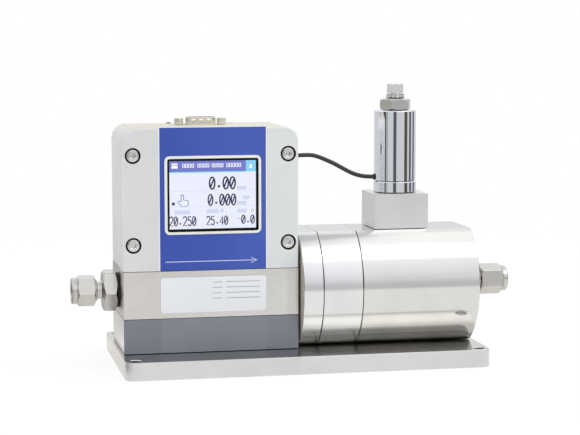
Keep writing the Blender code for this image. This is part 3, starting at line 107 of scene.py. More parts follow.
# Tool marks' depth, and the waves per metre of the clouds on bare metal
MARK_DEPTH = 0.02 * MM
CLOUD_WAVES = 45.0

# Rotations that point a piece's own +Z in a direction
FACING = {
    "up": Matrix(),
    "front": Matrix.Rotation(math.pi / 2, 4, "X"),
    "right": Matrix.Rotation(math.pi / 2, 4, "Y"),
    "left": Matrix.Rotation(-math.pi / 2, 4, "Y"),
}
HEX_CORNER = 1.0 / math.cos(math.radians(30.0))


def low(node):
    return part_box(node)[0]


def high(node):
    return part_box(node)[1]


def middle(node):
    return (low(node) + high(node)) / 2


def span(node):
    return high(node) - low(node)


def mm(*values):
    """Millimetres as metres, for numbers or for points."""
    return [tuple(part * MM for part in value) if isinstance(value, tuple) else value * MM
            for value in values]


AXIS_Z = middle("valve_body").z
METER_X = middle("manifold_block").x
METER_FRONT = low("front_panel").y
METER_TOP = high("electronics_housing").z
FILM_X = middle("front_film").x
PILOT_X = middle("pilot_block").x
DISPLAY_Z = middle("display_glass").z

# Sizes that the frame's boxes don't give
PLATE_CORNER, PLATE_EDGE = mm(5.0, 0.3)
FOOT_HOLE_RADIUS, FOOT_HOLE_INSET, FOOT_HOLE_EDGE = mm(3.2, 5.9, 0.4)
BLOCK_EDGE = 0.06 * MM
HOUSING_CORNER, HOUSING_EDGE, HOUSING_WALL = mm(8.0, 0.8, 3.0)
FILM_CHANNEL_DEPTH, FILM_RISE, PRINT = mm(0.8, 1.2, 0.03)
WINDOW = mm(54.6, 43.8)
BEZEL_CORNER, BEZEL_LIP, BEZEL_FLANGE, BEZEL_OVERHANG = mm(2.6, 1.2, 2.0, 0.05)
POCKET_DEPTH = 4.0 * MM
# Each kind of screw's head radius, head height and shank radius, and then their sockets' widths and turn
COVER_SCREW = mm(3.5, 4.0, 2.0)
TIE_BOLT = mm(4.25, 5.0, 2.5)
COVER_SOCKET, BOLT_SOCKET = mm(3.0, 4.0)
SOCKET_TURN = 0.3
COUNTERBORE, COUNTERBORE_DEPTH, COUNTERBORE_RIM = mm(4.25, 4.5, 0.25)
COLUMN_RADIUS, COLUMN_LENGTH = mm(5.5, 12.0)
CONNECTOR_DROP, CONNECTOR_SHEET, JACK_HOLE = mm(1.1, 0.5, 1.7)
PORT_HOLE, PORT_EDGE, METER_PORT_DEPTH = mm(6.9, 0.3, 24.0)
GLAND_HOLE, GLAND_HOLE_EDGE = mm(2.9, 0.2)
VALVE_RADIUS, VALVE_EDGE, FILTER_BORE, PASSAGE = mm(37.5, 0.35, 22.0, 4.0)
STUD_HOLE = 4.3 * MM


def screen_colour(red, green, blue):
    """A colour given as it looks on a screen, 0 to 255, as Blender's linear RGBA."""
    linear = []
    for share in (red / 255, green / 255, blue / 255):
        linear.append(share / 12.92 if share <= 0.04045 else ((share + 0.055) / 1.055) ** 2.4)
    return (*linear, 1.0)


class Graph:
    """The shader nodes of a material or world, made and linked in one step."""

    def __init__(self, owner):
        owner.use_nodes = True
        self.nodes = owner.node_tree.nodes
        self.links = owner.node_tree.links
        self.shader = self.nodes.get("Principled BSDF")

    def feed(self, socket, value):
        """Set an input to a value, or link it to another node's output."""
        if isinstance(value, bpy.types.NodeSocket):
            self.links.new(value, socket)
        else:
            socket.default_value = value

    def add(self, kind, inputs=None, **settings):
        node = self.nodes.new("ShaderNode" + kind)
        for name, value in settings.items():
            setattr(node, name, value)
        for key, value in (inputs or {}).items():
            self.feed(node.inputs[key], value)
        return node

    def place(self):
        return self.add("TexCoord").outputs["Object"]

    def parts(self, vector):
        return self.add("SeparateXYZ", {0: vector}).outputs

    def math(self, operation, *values):
        return self.add("Math", dict(enumerate(values)), operation=operation).outputs[0]

    def smooth(self, value, start, end, first=0.0, last=1.0):
        """Go smoothly from one value to another between two places."""
        inputs = {"Value": value, "From Min": start, "From Max": end, "To Min": first, "To Max": last}
        return self.add("MapRange", inputs, interpolation_type="SMOOTHSTEP").outputs["Result"]

    def ramp(self, factor, stops, interpolation="LINEAR"):
        node = self.add("ValToRGB", {"Fac": factor})
        node.color_ramp.interpolation = interpolation
        elements = node.color_ramp.elements
        while len(elements) < len(stops):
            elements.new(0.5)
        for element, (position, colour) in zip(elements, stops):
            element.position = position
            element.color = (*colour[:3], 1.0)
        return node.outputs["Color"]

    def mix(self, share, first, second):
        return self.add("MixShader", {0: share, 1: first, 2: second}).outputs[0]

    def noise(self, waves, stretch=(1.0, 1.0, 1.0), detail=3.0):
        """Noise in the piece's own space, with its waves per metre and its stretch along each axis."""
        spot = self.add("Mapping", {"Vector": self.place(), "Scale": stretch}).outputs["Vector"]
        return self.add("TexNoise", {"Vector": spot, "Scale": waves, "Detail": detail}).outputs["Fac"]

    def vary_colour(self, factor, first, second):
        """Mottle the base colour between two colours."""
        stops = [(COLOUR_START, screen_colour(*first)), (COLOUR_END, screen_colour(*second))]
        self.feed(self.shader.inputs["Base Color"], self.ramp(factor, stops))

    def vary_roughness(self, factor, smooth, rough):
        inputs = {"Value": factor, "From Min": ROUGHNESS_START, "From Max": ROUGHNESS_END,
                  "To Min": smooth, "To Max": rough}
        self.feed(self.shader.inputs["Roughness"], self.add("MapRange", inputs).outputs["Result"])

    def add_bump(self, height, strength, distance):
        bump = self.add("Bump", {"Strength": strength, "Distance": distance, "Height": height})
        self.feed(self.shader.inputs["Normal"], bump.outputs["Normal"])

    def multiply(self, share, first, second):
        """Multiply one colour by a share of another."""
        product = self.add("Mix", {0: share}, data_type="RGBA", blend_type="MULTIPLY")
        self.feed(product.inputs[6], first)
        self.feed(product.inputs[7], second)
        return product.outputs[2]

    def tone_base(self, share, tone):
        base = self.shader.inputs["Base Color"]
        self.feed(base, self.multiply(share, base.links[0].from_socket, tone))

    def tone_across(self, left, right, tones, interpolation="LINEAR"):
        """Multiply the base colour by tones at places from the piece's left side to its right."""
        inputs = {"Value": self.parts(self.place())[0], "From Min": left, "From Max": right}
        share = self.add("MapRange", inputs).outputs["Result"]
        stops = [((x - left) / (right - left), tone) for x, tone in tones]
        self.tone_base(1.0, self.ramp(share, stops, interpolation))

    def paint_shade_facing_up(self, tone):
        """Multiply the base colour by a tone where the surface faces up: painted shade on the top faces."""
        leaning, level = 0.85, 0.98
        normal = self.add("NewGeometry").outputs["Normal"]
        self.tone_base(self.smooth(self.parts(normal)[2], leaning, level), (*tone, 1.0))


FINISH = {}


def surface(name, colour, roughness, metallic=0.0, **inputs):
    """A finish with its constants on the shader's own sockets."""
    FINISH[name] = bpy.data.materials.new(name + "_finish")
    graph = Graph(FINISH[name])
    inputs.update(Base_Color=screen_colour(*colour), Roughness=roughness, Metallic=metallic)
    for socket, value in inputs.items():
        graph.shader.inputs[socket.replace("_", " ")].default_value = value
    return graph


def metal(name, colour, roughness, lines, waves, spread, relief, tint, metallic=1.0):
    """A bare metal with fine tool marks, which run where the stretch is small."""
    graph = surface(name, colour, roughness, metallic)
    marks = graph.noise(waves, lines, 4.0)
    graph.vary_roughness(marks, roughness - spread, roughness + spread)
    graph.vary_colour(graph.noise(CLOUD_WAVES), [value - tint for value in colour],
                      [min(value + tint / 2, 255) for value in colour])
    graph.add_bump(marks, relief, MARK_DEPTH)
    return graph


def coated(name, colour, roughness, clouds, darker, lighter, grain, relief, depth, **inputs):
    """A painted, printed or moulded finish, mottled by clouds of (waves, detail) and with a fine grain."""
    graph = surface(name, colour, roughness, **inputs)
    waves, detail = clouds
    graph.vary_colour(graph.noise(waves, detail=detail), darker, lighter)
    graph.add_bump(graph.noise(grain, detail=2.0), relief, depth)
    return graph


def metals():
    """The bare metals: colour, roughness, run of the marks, waves per metre, spread, relief and tint."""
    even = (1.0, 1.0, 1.0)
    along = (0.04, 1.0, 1.0)
    around = (1.0, 0.03, 0.03)
    flat = (0.03, 0.03, 1.0)
    for row in (("plate_top", (191, 189, 185), 0.16, along, 1500.0, 0.03, 0.05, 4),
                ("plate", (201, 202, 203), 0.18, along, 1500.0, 0.04, 0.05, 4),
                ("plate_end_painted_shade", (180, 176, 170), 0.22, along, 1500.0, 0.04, 0.05, 4),
                ("valve", (206, 206, 204), 0.12, around, 2200.0, 0.03, 0.04, 3),
                ("section", (212, 213, 214), 0.13, around, 2200.0, 0.03, 0.04, 3),
                ("pilot", (213, 214, 214), 0.28, flat, 4000.0, 0.01, 0.004, 3),
                ("fitting", (190, 188, 184), 0.20, even, 3200.0, 0.02, 0.02, 3),
                ("plated", (188, 187, 185), 0.20, even, 3200.0, 0.01, 0.004, 3),
                ("screw", (205, 204, 202), 0.26, even, 1200.0, 0.05, 0.08, 5),
                ("chrome", (226, 228, 233), 0.045, even, 60.0, 0.01, 0.01, 2),
                ("satin", (225, 226, 226), 0.22, even, 4000.0, 0.01, 0.01, 3),
                ("tin", (232, 227, 214), 0.17, even, 3200.0, 0.03, 0.03, 5),
                ("bezel", (240, 239, 234), 0.40, even, 1500.0, 0.02, 0.005, 3, 0.0),
                ("gold", (228, 186, 96), 0.20, even, 900.0, 0.05, 0.06, 8),
                ("copper", (200, 128, 84), 0.35, (1.0, 1.0, 12.0), 260.0, 0.08, 0.60, 12),
                ("inner", (200, 199, 196), 0.30, even, 900.0, 0.06, 0.10, 8),
                ("sinter", (170, 164, 156), 0.70, even, 2200.0, 0.10, 0.80, 16)):
        metal(*row)
    left, right = low("manifold_block").x, high("manifold_block").x
    # The last millimetres at the manifold's right end are darker: a painted reflection.
    painted_reflection_edge = right - 7.0 * MM
    manifold = metal("manifold", (203, 202, 200), 0.26, along, 3600.0, 0.02, 0.04, 3)
    manifold.tone_across(left, right, ((left, (1.0, 0.98, 0.965)), (low("front_film").x, (1.0, 0.985, 0.975)),
                                       (painted_reflection_edge, (0.99, 0.995, 0.995)), (painted_reflection_edge + 1.5 * MM, (0.90, 0.90, 0.885)),
                                       (right, (0.90, 0.90, 0.885))))


def coatings():
    """Paint, film, label, rubber, plastic and glass."""
    left, right = low("manifold_block").x, high("manifold_block").x
    film_left, film_right = low("front_film").x, high("front_film").x
    housing = coated("housing", (222, 223, 224), 0.55, (30.0, 4.0), (220, 221, 222), (224, 225, 226),
                     2600.0, 0.28, 0.05 * MM, IOR=1.45, Specular_IOR_Level=0.12)
    housing.vary_roughness(housing.noise(2600.0, detail=2.0), 0.50, 0.60)
    # Darker at the left, lighter and cooler at the right: painted light across the housing's faces.
    housing.tone_across(left, right, ((left, (0.98, 0.975, 0.975)), (right, (1.02, 1.04, 1.05))))
    # Darker and warmer where the housing faces up: painted shade on its top.
    housing.paint_shade_facing_up((0.89, 0.86, 0.77))
    dark = coated("lower_block", (132, 136, 148), 0.42, (26.0, 5.0), (130, 134, 145), (135, 139, 151),
                  1800.0, 0.12, 0.03 * MM)
    dark.tone_across(left, right, ((left, (0.88, 0.88, 0.87)), (film_left, (1.0, 1.0, 1.0)),
                                   (film_right, (0.95, 0.955, 0.955))), "CONSTANT")
    film = coated("film", (66, 90, 185), 0.5, (22.0, 4.0), (64, 87, 181), (69, 94, 187),
                  3200.0, 0.15, 0.02 * MM, Specular_IOR_Level=0.35)
    film.tone_across(film_left, film_right, ((film_left, (0.66, 0.74, 0.84)),
                                             (film_right, (1.02, 1.04, 0.98))))
    coated("label", (237, 239, 243), 0.42, (40.0, 4.0), (235, 237, 241), (238, 240, 244),
           500.0, 0.06, 0.03 * MM)
    for name, colour, roughness, specular in (
            ("film_print", (206, 212, 238), 0.45, 0.5), ("film_edge", (240, 236, 222), 0.4, 0.5),
            ("label_print", (150, 152, 157), 0.5, 0.5), ("black", (8, 9, 16), 0.35, 0.1),
            ("rubber", (24, 24, 26), 0.62, 0.5), ("cable", (30, 31, 37), 0.38, 0.5),
            ("end_face_painted_reflection", (176, 170, 158), 0.5, 0.5), ("board", (22, 92, 52), 0.45, 0.5),
            ("plastic", (216, 214, 205), 0.45, 0.5), ("dark_screw", (70, 70, 72), 0.4, 0.5)):
        coated(name, colour, roughness, (160.0, 3.0), colour, [value + 7 for value in colour],
               1400.0, 0.12, 0.03 * MM, Specular_IOR_Level=specular)
    glass = surface("glass", (250, 250, 252), 0.03, IOR=1.12, Transmission_Weight=1.0)
    glass.add_bump(glass.noise(90.0, detail=1.0), 0.02, 0.02 * MM)


def screen_lights():
    """What glows on the display."""
    for name, colour in (("panel", (236, 239, 255)), ("header", (109, 119, 202)), ("cyan", (132, 212, 252)),
                         ("line", (150, 222, 255)), ("white", (252, 253, 255)), ("digits", (16, 20, 58)),
                         ("units", (150, 158, 214)), ("rule", (212, 216, 247)), ("icon", (88, 112, 182))):
        lit = surface("screen_" + name, (0, 0, 0), 0.5, Emission_Strength=1.0)
        stops = [(0.0, screen_colour(*(max(value - 3, 0) for value in colour))),
                 (1.0, screen_colour(*(min(value + 3, 255) for value in colour)))]
        lit.feed(lit.shader.inputs["Emission Color"], lit.ramp(lit.noise(60.0, detail=2.0), stops))


def new_object(name, bm, place=(0, 0, 0), facing="up"):
    bmesh.ops.recalc_face_normals(bm, faces=bm.faces[:])
    mesh = bpy.data.meshes.new(name)
    bm.to_mesh(mesh)
    bm.free()
    obj = bpy.data.objects.new(name, mesh)
    obj.matrix_world = Matrix.Translation(place) @ FACING[facing]
    bpy.context.scene.collection.objects.link(obj)
    return obj


def turned(name, profile, place, facing="up", sides=SIDES):
    """Spin a profile of (height, radius) points round the piece's own Z."""
    bm = bmesh.new()
    verts = [bm.verts.new((radius, 0, height)) for height, radius in profile]
    edges = [bm.edges.new(pair) for pair in zip(verts, verts[1:] + verts[:1])
             if pair[0].co.x > 0 or pair[1].co.x > 0]
    bmesh.ops.spin(bm, geom=verts + edges, cent=(0, 0, 0), axis=(0, 0, 1), angle=2 * math.pi,
                   steps=sides, use_merge=True)
    bmesh.ops.remove_doubles(bm, verts=bm.verts[:], dist=1e-7)
    return new_object(name, bm, place, facing)


def prism(name, outline, bottom, top, place=(0, 0, 0), facing="up"):
    """Extrude a flat outline along the piece's own Z."""
    bm = bmesh.new()
    lower = bm.faces.new([bm.verts.new((x, y, bottom)) for x, y in outline])
    extruded = bmesh.ops.extrude_face_region(bm, geom=[lower], use_keep_orig=True)
    raised = [item for item in extruded["geom"] if isinstance(item, bmesh.types.BMVert)]
    bmesh.ops.translate(bm, vec=(0, 0, top - bottom), verts=raised)
    return new_object(name, bm, place, facing)


def rounded_polygon(corners, radii, steps=CORNER_STEPS):
    """An outline, counter-clockwise, with each corner rounded by its own radius."""
    points = []
    for index, radius in enumerate(radii):
        here = Vector(corners[index])
        if radius <= 0:
            points.append(tuple(here))
            continue
        to_last = (Vector(corners[index - 1]) - here).normalized()
        to_next = (Vector(corners[(index + 1) % len(corners)]) - here).normalized()
        half = to_last.angle(to_next) / 2
        centre = here + (to_last + to_next).normalized() * radius / math.sin(half)
        start = here + to_last * radius / math.tan(half) - centre
        turns = [Matrix.Rotation((math.pi - 2 * half) * step / steps, 2) for step in range(steps + 1)]
        points += [tuple(centre + turn @ start) for turn in turns]
    return points


def rectangle(width, height, radius=0.0, grow=0.0):
    """A centred rectangle with equal corners, all of it grown outwards by one amount."""
    x = width / 2 + grow
    y = height / 2 + grow
    corner = max(radius + grow, 0.0) if radius else 0.0
    return rounded_polygon([(-x, -y), (x, -y), (x, y), (-x, y)], [corner] * 4)


def hexagon(across_flats, turn=0.0):
    corner = across_flats / 2 * HEX_CORNER
    angles = [turn + math.radians(60.0 * step) for step in range(6)]
    return [(corner * math.cos(angle), corner * math.sin(angle)) for angle in angles]


def combine(target, other, operation):
    modifier = target.modifiers.new(other.name, "BOOLEAN")
    modifier.operation = operation
    modifier.solver = "EXACT"
    modifier.object = other


def cut(target, *cutters):
    for cutter in cutters:
        combine(target, cutter, "DIFFERENCE")


def join(target, addition):
    combine(target, addition, "UNION")


def drill(target, mouth, facing, radius, depth, flare=0.0, sides=SMALL_SIDES):
    """Cut a round hole inwards from its mouth, with its rim flared by a small chamfer."""
    rim = [(-flare, radius), (OVERCUT, radius + flare + OVERCUT)] if flare > 0 else [(OVERCUT, radius)]
    profile = [(-depth, 0), (-depth, radius), *rim, (OVERCUT, 0)]
    cut(target, turned("cut_hole", profile, mouth, facing, sides))


def counterbore(target, mouth, facing, radius, depth, hole_radius, hole_depth, flare):
    """Cut a screw's hole with the wider hole for its head, its rim flared by a small chamfer."""
    profile = [(-hole_depth, 0), (-hole_depth, hole_radius), (-depth, hole_radius), (-depth, radius),
               (-flare, radius), (OVERCUT, radius + flare + OVERCUT), (OVERCUT, 0)]
    cut(target, turned("cut_counterbore", profile, mouth, facing, BORE_SIDES))


def cut_flats(target, across_flats, bottom, top, place, facing, turn=0.0):
    """Cut six flats on a turned piece between two heights of its own axis."""
    ring = prism("cut_flats", hexagon(across_flats * 2, turn), bottom, top, place, facing)
    cut(ring, prism("cut_flats_bore", hexagon(across_flats, turn), bottom - OVERCUT, top + OVERCUT,
                    place, facing))
    cut(target, ring)


def soften(obj, width, segments=3):
    """Round an object's sharp edges."""
    bevel = obj.modifiers.new("soften", "BEVEL")
    bevel.width = width
    bevel.segments = segments
    bevel.limit_method = "ANGLE"
    bevel.angle_limit = SOFTENED_ANGLE


def soften_end(obj, height, width):
    """Round only the edges round an extruded piece's end face at one height, but not one on its X axis."""
    bm = bmesh.new()
    bm.from_mesh(obj.data)
    edges = [edge for edge in bm.edges if all(abs(vert.co.z - height) < 1e-6 for vert in edge.verts)
             and any(abs(vert.co.y) > 1e-6 for vert in edge.verts)]
    bmesh.ops.bevel(bm, geom=edges, offset=width, segments=4, profile=0.5, affect="EDGES")
    bm.to_mesh(obj.data)
    bm.free()


def settle(obj, finish, node=None):
    """Apply an object's modifiers and place, give it its finish and make it ride with the instrument."""
    evaluated = obj.evaluated_get(bpy.context.evaluated_depsgraph_get())
    mesh = bpy.data.meshes.new_from_object(evaluated)
    mesh.transform(obj.matrix_world)
    mesh.materials.clear()
    mesh.materials.append(FINISH[finish])
    mesh.shade_smooth()
    mesh.set_sharp_from_angle(angle=SHARP_ANGLE)
    obj.modifiers.clear()
    obj.data = mesh
    obj.matrix_world = Matrix()
    obj.modifiers.new("even_normals", "WEIGHTED_NORMAL").keep_sharp = True
    if node:
        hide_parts(node)
    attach(obj, "instrument")


def refinish(obj, finish, chosen):
    """Give another finish to the faces that a test picks by their middle and normal."""
    obj.data.materials.append(FINISH[finish])
    for face in obj.data.polygons:
        if chosen(face.center, face.normal):
            face.material_index = len(obj.data.materials) - 1


def remove_cutters():
    for obj in list(bpy.data.objects):
        if obj.name.startswith(("cut_", "add_")):
            bpy.data.objects.remove(obj)


def base_plate():
    size = span("base_plate")
    plate = prism("base_plate_ground", rectangle(size.x, size.y, PLATE_CORNER), 0, size.z)
    soften(plate, PLATE_EDGE, 4)
    for x in (-1, 1):
        for y in (-1, 1):
            mouth = (x * (size.x / 2 - FOOT_HOLE_INSET), y * (size.y / 2 - FOOT_HOLE_INSET), size.z)
            drill(plate, mouth, "up", FOOT_HOLE_RADIUS, size.z + OVERCUT, FOOT_HOLE_EDGE, BORE_SIDES)
    settle(plate, "plate", "base_plate")
    refinish(plate, "plate_top", lambda spot, normal: normal.z > 0.9)
    # The plate's end faces get a rougher copy of its metal, darker and warmer as painted shade.
    refinish(plate, "plate_end_painted_shade", lambda spot, normal: abs(normal.x) > 0.99)


def meter_blocks():
    """The meter's two square-edged blocks; only the front of the lower one is dark."""
    for name, node, slot in (("lower_block_painted", "lower_block", "lower_block"),
                             ("manifold_block_ground", "manifold_block", "manifold")):
        size = span(node)
        block = prism(name, rectangle(size.x, size.y), -size.z / 2, size.z / 2, middle(node))
        soften(block, BLOCK_EDGE)
        if slot == "manifold":
            for x, facing in ((low(node).x, "left"), (high(node).x, "right")):
                drill(block, (x, 0, AXIS_Z), facing, PORT_HOLE, METER_PORT_DEPTH, PORT_EDGE, BORE_SIDES)
        settle(block, slot, node)
        if slot == "lower_block":
            refinish(block, "fitting", lambda spot, normal: normal.y > -0.5)


def housing_outline(shrink=0.0, overcut=0.0):
    """The housing's front outline above the manifold, with its origin at the housing's base."""
    size = span("electronics_housing")
    x = size.x / 2 - shrink
    top = size.z - shrink
    corner = HOUSING_CORNER - shrink
    return rounded_polygon([(-x, -overcut), (x, -overcut), (x, top), (-x, top)], [0, 0, corner, corner])


def cover_screw_places():
    screws = [middle(f"cover_screw_{number}") for number in range(1, 5)]
    return [(screw.x, screw.z) for screw in screws]


def front_panel():
    base = low("front_panel").z
    thickness = span("front_panel").y
    panel = prism("front_panel_blasted", housing_outline(), -thickness, 0,
                  (METER_X, METER_FRONT, base), "front")
    soften_end(panel, 0, HOUSING_EDGE)
    channel = prism("cut_channel", rectangle(span("front_film").x, 2 * METER_TOP, grow=CLEARANCE),
                    -FILM_CHANNEL_DEPTH, OVERCUT, (FILM_X, METER_FRONT, base), "front")
    display = (FILM_X, METER_FRONT, DISPLAY_Z)
    window = prism("cut_window", rectangle(*WINDOW, BEZEL_CORNER, CLEARANCE),
                   -thickness - OVERCUT, OVERCUT, display, "front")
    pocket = prism("cut_pocket", rectangle(*WINDOW, BEZEL_CORNER, BEZEL_FLANGE + CLEARANCE),
                   -thickness - OVERCUT, POCKET_DEPTH - thickness, display, "front")
    cut(panel, channel, window, pocket)
    places = cover_screw_places()
    for x, z in places:
        counterbore(panel, (x, METER_FRONT, z), "front", COUNTERBORE, COUNTERBORE_DEPTH,
                    COVER_SCREW[2] + CLEARANCE, thickness + OVERCUT, COUNTERBORE_RIM)
    settle(panel, "housing", "front_panel")
    reach = COUNTERBORE + COUNTERBORE_RIM
    # The counterbores' walls round each cover screw get the black rubber finish: painted shade in the narrow
    # gaps.
    refinish(panel, "rubber", lambda spot, normal: spot.y > METER_FRONT + COUNTERBORE_RIM / 2
             and any(math.hypot(spot.x - x, spot.z - z) < reach for x, z in places))


def electronics_housing():
    node = "electronics_housing"
    front = low(node).y
    depth = span(node).y
    place = (METER_X, front, low(node).z)
    housing = prism("electronics_housing_blasted", housing_outline(), -depth, 0, place, "front")
    soften_end(housing, -depth, HOUSING_EDGE)
    cut(housing, prism("cut_inside", housing_outline(HOUSING_WALL, OVERCUT), HOUSING_WALL - depth, OVERCUT,
                       place, "front"))
    for screw_x, screw_z in cover_screw_places():
        mouth = (screw_x, front, screw_z)
        column = [(-COLUMN_LENGTH, 0), (-COLUMN_LENGTH, COLUMN_RADIUS), (-CLEARANCE, COLUMN_RADIUS),
                  (-CLEARANCE, 0)]
        join(housing, turned("add_column", column, mouth, "front", SMALL_SIDES))
        drill(housing, mouth, "front", COVER_SCREW[2] + CLEARANCE, COLUMN_LENGTH + OVERCUT)
    shell = middle("connector_shell")
    cut(housing, prism("cut_connector", connector_outline(CLEARANCE), -2 * HOUSING_WALL, OVERCUT,
                       (shell.x, shell.y, METER_TOP)))
    for side in ("left", "right"):
        jack = middle("jackscrew_" + side)
        drill(housing, (jack.x, jack.y, METER_TOP), "up", JACK_HOLE, HOUSING_WALL + OVERCUT)
    drill(housing, (high(node).x, 0, middle("cable_gland").z), "right", GLAND_HOLE,
          HOUSING_WALL + OVERCUT, GLAND_HOLE_EDGE)
    settle(housing, "housing", node)


def cap_screw(name, node, facing, head, socket):
    """A socket cap screw with a head of (radius, height, shank radius), as long as its node."""
    head_radius, head_height, shank_radius = head
    centre = middle(node)
    if facing == "front":
        length = span(node).y - head_height
        place = (centre.x, low(node).y + head_height, centre.z)
    else:
        length = span(node).x - head_height
        place = (high(node).x - head_height, centre.y, centre.z)
    edge = head_height / 10
    profile = [(-length, 0), (-length, shank_radius), (0, shank_radius), (0, head_radius),
               (head_height - edge, head_radius), (head_height - edge * 0.3, head_radius - edge * 0.3),
               (head_height, head_radius - edge), (head_height, 0)]
    screw = turned(name, profile, place, facing, BORE_SIDES)
    key = prism("cut_socket", hexagon(socket, SOCKET_TURN), head_height / 2, head_height + OVERCUT, place,
                facing)
    dish_low = head_height - 0.3 * MM
    dish_high = head_height + 0.1 * MM
    dish = [(dish_low, 0), (dish_low, socket * 0.5), (dish_high, socket * 0.7), (dish_high, 0)]
    cut(screw, key, turned("cut_dish", dish, place, facing, SMALL_SIDES))
    settle(screw, "screw", node)


def screws():
    """The cover's and the valve's cap screws, and two small button-head screws on the housing's top."""
    for number in range(1, 5):
        cap_screw(f"cover_cap_screw_{number}", f"cover_screw_{number}", "front", COVER_SCREW, COVER_SOCKET)
        cap_screw(f"valve_cap_screw_{number}", f"tie_bolt_{number}", "right", TIE_BOLT, BOLT_SOCKET)
    profile = mm((-2.0, 0), (-2.0, 0.8), (0, 0.8), (0, 1.4), (0.2, 1.4), (0.45, 1.2), (0.6, 0.8), (0.6, 0))
    socket, socket_floor, head_height = mm(0.9, 0.2, 0.6)
    for side, x, y, finish in (("left", -69.9, 24.8, "dark_screw"), ("right", -34.0, 18.0, "screw")):
        place = (x * MM, y * MM, METER_TOP)
        screw = turned("top_screw_" + side, profile, place, "up", TRIM_SIDES)
        cut(screw, prism("cut_socket", hexagon(socket), socket_floor, head_height + OVERCUT, place))
        settle(screw, finish)


def bars(name, rectangles, front, depth, finish):
    """Flat printed marks that face the front, each given as its left, bottom, right and top."""
    bm = bmesh.new()
    for left, bottom, right, top in rectangles:
        corners = [(left, bottom), (right, bottom), (right, top), (left, top)]
        near, far = ([bm.verts.new((x, y, z)) for x, z in corners] for y in (front - depth, front))
        bm.faces.new(near)
        bm.faces.new(far)
        for a, b in ((0, 1), (1, 2), (2, 3), (3, 0)):
            bm.faces.new((near[a], near[b], far[b], far[a]))
    settle(new_object(name, bm), finish)


def strokes(name, lines, width, front, depth, finish):
    """Flat printed lines that face the front, each a list of points across and up."""
    bm = bmesh.new()
    for line in lines:
        closed = (Vector(line[0]) - Vector(line[-1])).length < 1e-9
        points = [Vector(point) for point in (line[:-1] if closed else line)]
        count = len(points)
        rings = []
        for index, point in enumerate(points):
            before = points[index - 1] if closed or index else point
            after = points[(index + 1) % count] if closed or index < count - 1 else point
            along = (after - before).normalized()
            across = Vector((-along.y, along.x)) * width / 2
            rings.append([bm.verts.new((place.x, y, place.y))
                          for place, y in ((point - across, front - depth), (point + across, front - depth),
                                           (point + across, front), (point - across, front))])
        for here, there in zip(rings, rings[1:] + ([rings[0]] if closed else [])):
            for a, b in ((0, 1), (1, 2), (2, 3), (3, 0)):
                bm.faces.new((here[a], here[b], there[b], there[a]))
        if not closed:
            bm.faces.new(rings[0])
            bm.faces.new(rings[-1])
    settle(new_object(name, bm), finish)


def arc(centre, radii, first, last, steps=14):
    """Points of an elliptical arc, from one angle to another, in degrees."""
    angles = [math.radians(first + (last - first) * step / steps) for step in range(steps + 1)]
    return [(centre[0] + radii[0] * math.cos(angle), centre[1] + radii[1] * math.sin(angle))
            for angle in angles]


# Strokes of each digit in a cell one wide and 1.6 high
DIGIT_HEIGHT = 1.6
DIGITS = {
    "0": [arc((0.5, 0.8), (0.46, 0.76), 0, 360, 28), [(0.22, 0.3), (0.78, 1.3)]],
    "2": [arc((0.5, 1.14), (0.44, 0.42), 165, -25) + [(0.06, 0.04), (0.96, 0.04)]],
    "4": [[(0.74, 0.02), (0.74, 1.56), (0.06, 0.46), (0.98, 0.46)]],
    "5": [[(0.9, 1.54), (0.18, 1.54), (0.14, 0.92)] + arc((0.48, 0.5), (0.44, 0.47), 118, -150)],
    ".": [[(0.30, 0.34), (0.70, 0.34)], [(0.30, 0.42), (0.70, 0.42)]],
}


def number_lines(text, left, bottom, right, top):
    """Stroke lines of a number that fills a box."""
    pitch = (right - left) / len(text)
    width = pitch * 0.84
    height = (top - bottom) / DIGIT_HEIGHT
    starts = [left + index * pitch + (pitch - width) / 2 for index in range(len(text))]
    return [[(start + x * width, bottom + y * height) for x, y in line]
            for start, digit in zip(starts, text) for line in DIGITS[digit]]


def front_film():
    """The blue film round the display, its pale side edges and its flow arrow."""
    film_low, film_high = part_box("front_film")
    film_high.z += FILM_RISE
    place = (FILM_X, METER_FRONT, DISPLAY_Z)
    half = (film_high.x - film_low.x) / 2
    bottom = film_low.z - DISPLAY_Z
    top = film_high.z - DISPLAY_Z
    film = prism("front_film_printed", [(-half, bottom), (half, bottom), (half, top), (-half, top)],
                 low("front_film").y - high("front_film").y, 0, place, "front")
    cut(film, prism("cut_film_window", rectangle(*WINDOW, BEZEL_CORNER, CLEARANCE), -OVERCUT, OVERCUT,
                    place, "front"))
    settle(film, "film", "front_film")
    over = 2 * CLEARANCE
    bars("film_edge_lines", [(film_low.x - over, film_low.z, film_low.x, film_high.z),
                             (film_high.x, film_low.z, film_high.x + over, film_high.z)],
         METER_FRONT, PRINT, "film_edge")
    # The arrow's tail, tip, barbs and height, in millimetres
    tail, tip, barb_end, barb, height = -79.4, -26.7, -30.2, 1.55, 62.45
    strokes("flow_arrow", [mm((tail, height), (tip, height)),
                           mm((barb_end, height + barb), (tip, height), (barb_end, height - barb))],
            0.42 * MM, METER_FRONT, PRINT, "film_print")


